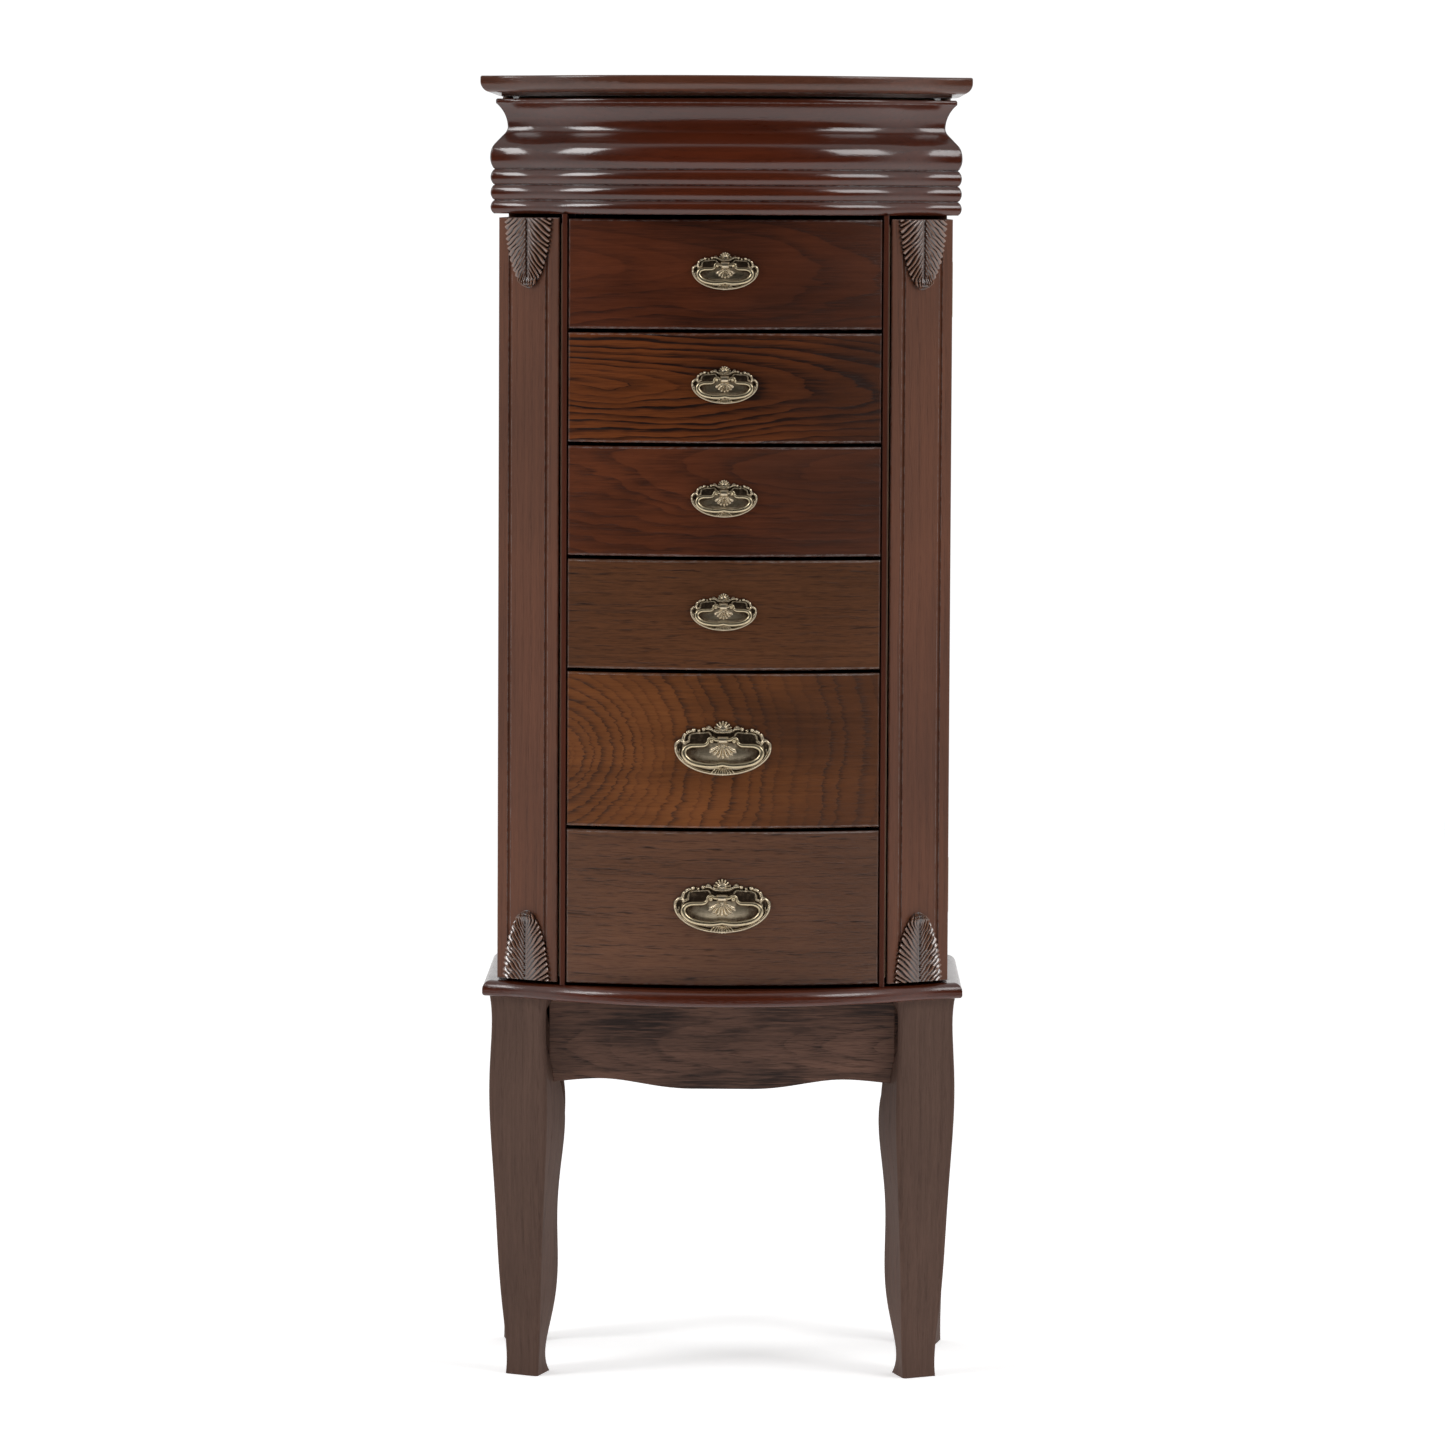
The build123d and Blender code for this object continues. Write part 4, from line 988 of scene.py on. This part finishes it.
felt = velvet("pale_felt", srgb(214, 190, 176), srgb(180, 152, 138))
bumper_low, bumper_high = box_mm("felt_bumpers")
bumper_radius = (bumper_high[1] - bumper_low[1]) / 2
bumper_spots = [(side * (bumper_high[0] - bumper_radius), (bumper_low[1] + bumper_high[1]) / 2)
                for side in SIDES.values()]
bumpers = piece("felt_pads", joined([disc_shape(spot, bumper_radius, bumper_low[2], bumper_high[2])
                                     for spot in bumper_spots]), felt, "cabinet")
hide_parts("felt_bumpers")

BAND_TOP_GAP = 0.4        # under the closed lid
band_top = box_mm("lid")[0][2] - BAND_TOP_GAP
band_low = box_mm("tray_lining")[0][2] + 0.1
band_rear = box_mm("tray_lining")[1][1]
band_outer, band_inner = BAND_OFFSETS
band_loops = [plan_loop(band_outer, band_rear + 0.7, band_low),
              plan_loop(band_outer, band_rear + 0.7, band_top - 0.2),
              plan_loop((band_outer + band_inner) / 2, band_rear + 0.4, band_top),
              plan_loop(band_inner, band_rear + 0.1, band_top - 0.2),
              plan_loop(band_inner, band_rear + 0.1, band_low)]
band_rows, band_steps = len(band_loops), len(band_loops[0])
band_faces = []
for row in range(band_rows):
    here, there = row * band_steps, (row + 1) % band_rows * band_steps
    for step in range(band_steps):
        after = (step + 1) % band_steps
        band_faces.append((here + step, here + after, there + after, there + step))
band = piece("tray_wall_velvet", (np.concatenate(band_loops), band_faces), lining_velvet, "cabinet")

BOX_WALL = 6.0
BOX_FLOOR = 4.0
LINING = 1.0
LINING_GAP = 0.1
LINING_DROP = 1.5         # below the top of the box
for number in DRAWERS:
    low, high = box_mm(f"drawer_{number}_box")
    inside_low = (low[0] + BOX_WALL + LINING_GAP, low[1] + LINING_GAP, low[2] + BOX_FLOOR + LINING_GAP)
    inside_high = (high[0] - BOX_WALL - LINING_GAP, high[1] - BOX_WALL - LINING_GAP, high[2] - LINING_DROP)
    lining = piece(f"drawer_lining_{number}", open_tray(inside_low, inside_high, LINING), lining_velvet,
                   f"drawer_{number}")

PANEL_FACES = (0.05, 0.9)  # of a velvet panel, out from the wood
DOOR_THICK = 9.0
CASE_HALF_WIDTH = 126.0
for side_name, side in SIDES.items():
    door_low, door_high = box_mm(f"door_{side_name}")
    door_inner_x = max(abs(door_low[0]), abs(door_high[0])) - DOOR_THICK
    for place, body, faces_x, y, margin in (
            ("door", f"door_{side_name}", [door_inner_x - out for out in PANEL_FACES], (-60.0, 120.0), 6),
            ("case", "cabinet", [CASE_HALF_WIDTH + out for out in PANEL_FACES], (-96.0, 124.0), 4)):
        low_x, high_x = sorted(side * x for x in faces_x)
        shape = slab((low_x, y[0], door_low[2] + margin), (high_x, y[1], door_high[2] - margin))
        panel = piece(f"{place}_velvet_{side_name}", shape, lining_velvet, body)

apply_material(["tray_dividers"], velvet("divider_velvet", srgb(146, 118, 92), srgb(92, 71, 53)))
apply_material(["lid_mirror"], mirror_glass())
apply_material(["door_catches"], moulded_plastic())
apply_material(["hinge_pins"] + [f"hinge_leaves_{part}" for part in ("fixed", "lid", "right", "left")],
               plain_metal("hinge_brass", srgb(168, 140, 84), srgb(104, 82, 44), 0.34))
apply_material(["hooks_right", "hooks_left"],
               plain_metal("hook_brass", srgb(190, 160, 98), srgb(128, 102, 58), 0.28))

# --- Camera ---
CAMERA_PLACE = (0.0406, -5.588, 0.921)
CAMERA_LENS = 176.88
CAMERA_YAW = 0.0075
CAMERA_PITCH = 0.0735
CAMERA_ROLL = 0.0049
camera = added("camera", bpy.data.cameras.new("camera"))
camera.data.sensor_width = 36.0
camera.data.lens = CAMERA_LENS
camera.data.clip_end = 60.0
camera.matrix_world = (Matrix.Translation(CAMERA_PLACE) @ Matrix.Rotation(CAMERA_YAW, 4, "Z")
                       @ Matrix.Rotation(math.pi / 2 - CAMERA_PITCH, 4, "X")
                       @ Matrix.Rotation(CAMERA_ROLL, 4, "Z"))
bpy.context.scene.camera = camera

# --- Studio: pale floor, white surroundings that are dark behind the camera, two softboxes ---
FLOOR_HALF_WIDTH = 5.0
FLOOR_FRONT_Y = -1.9
FLOOR_BACK_Y = 5.0
WHITE = (1.0, 1.0, 1.0, 1.0)
floor_shader = Shader("studio_floor", Roughness=0.9, Emission_Color=WHITE, Emission_Strength=0.42)
floor_shader.drive("Base Color", floor_shader.ramp(
    floor_shader.grain(3.0), [(0.3, (0.93, 0.93, 0.93)), (0.7, (0.95, 0.95, 0.95))]))
floor_mesh = bpy.data.meshes.new("studio_floor")
floor_mesh.from_pydata([(-FLOOR_HALF_WIDTH, FLOOR_FRONT_Y, 0), (FLOOR_HALF_WIDTH, FLOOR_FRONT_Y, 0),
                        (FLOOR_HALF_WIDTH, FLOOR_BACK_Y, 0), (-FLOOR_HALF_WIDTH, FLOOR_BACK_Y, 0)],
                       [], [(0, 1, 2, 3)])
floor_mesh.materials.append(floor_shader.material)
floor = added("studio_floor", floor_mesh)


def studio_world(bright, dark, seen, cone, fade_out):
    """White studio, with a dark cone in front of the object, out to the angle cone, which fades out by the
    angle fade_out. The camera itself sees plain white."""
    world = bpy.data.worlds.new("studio")
    bpy.context.scene.world = world
    world.use_nodes = True
    tree = world.node_tree
    direction = add_node(tree, "TexCoord").outputs["Generated"]
    forward = Vector((0.0, -1.0, 0.05)).normalized()
    facing = add_node(tree, "VectorMath", direction, forward, operation="DOT_PRODUCT").outputs["Value"]
    ramp = add_node(tree, "MapRange", facing, interpolation_type="SMOOTHSTEP", named={
        "From Min": math.cos(math.radians(fade_out)), "From Max": math.cos(math.radians(cone)),
        "To Min": bright, "To Max": dark}).outputs["Result"]
    to_camera = add_node(tree, "LightPath").outputs["Is Camera Ray"]
    strength = add_node(tree, "Mix", to_camera, named={2: ramp, 3: seen}).outputs[0]
    background = tree.nodes["Background"].inputs
    feed(tree, background["Color"], WHITE)
    feed(tree, background["Strength"], strength)


studio_world(bright=0.8, dark=0.01, seen=1.05, cone=50, fade_out=72)


def softbox(name, azimuth, elevation, distance, width, height, radiance):
    """Rectangular light that faces the upper part of the object. Azimuth is from the front, to the right."""
    target = Vector((0.0, 0.0, 0.9))
    turn = math.radians(azimuth)
    rise = math.radians(elevation)
    way = Vector((math.sin(turn) * math.cos(rise), -math.cos(turn) * math.cos(rise), math.sin(rise)))
    light = bpy.data.lights.new(name, "AREA")
    light.shape = "RECTANGLE"
    light.size = width
    light.size_y = height
    light.energy = radiance * math.pi * width * height
    lamp = added(name, light)
    lamp.location = target + way * distance
    lamp.rotation_euler = (-way).to_track_quat("-Z", "Y").to_euler()


softbox("softbox_left", azimuth=-61.0, elevation=26.0, distance=2.4, width=0.6, height=1.1, radiance=10.0)
softbox("softbox_right", azimuth=55.0, elevation=26.0, distance=2.4, width=0.9, height=1.1, radiance=7.0)

bpy.context.scene.view_settings.view_transform = "Standard"
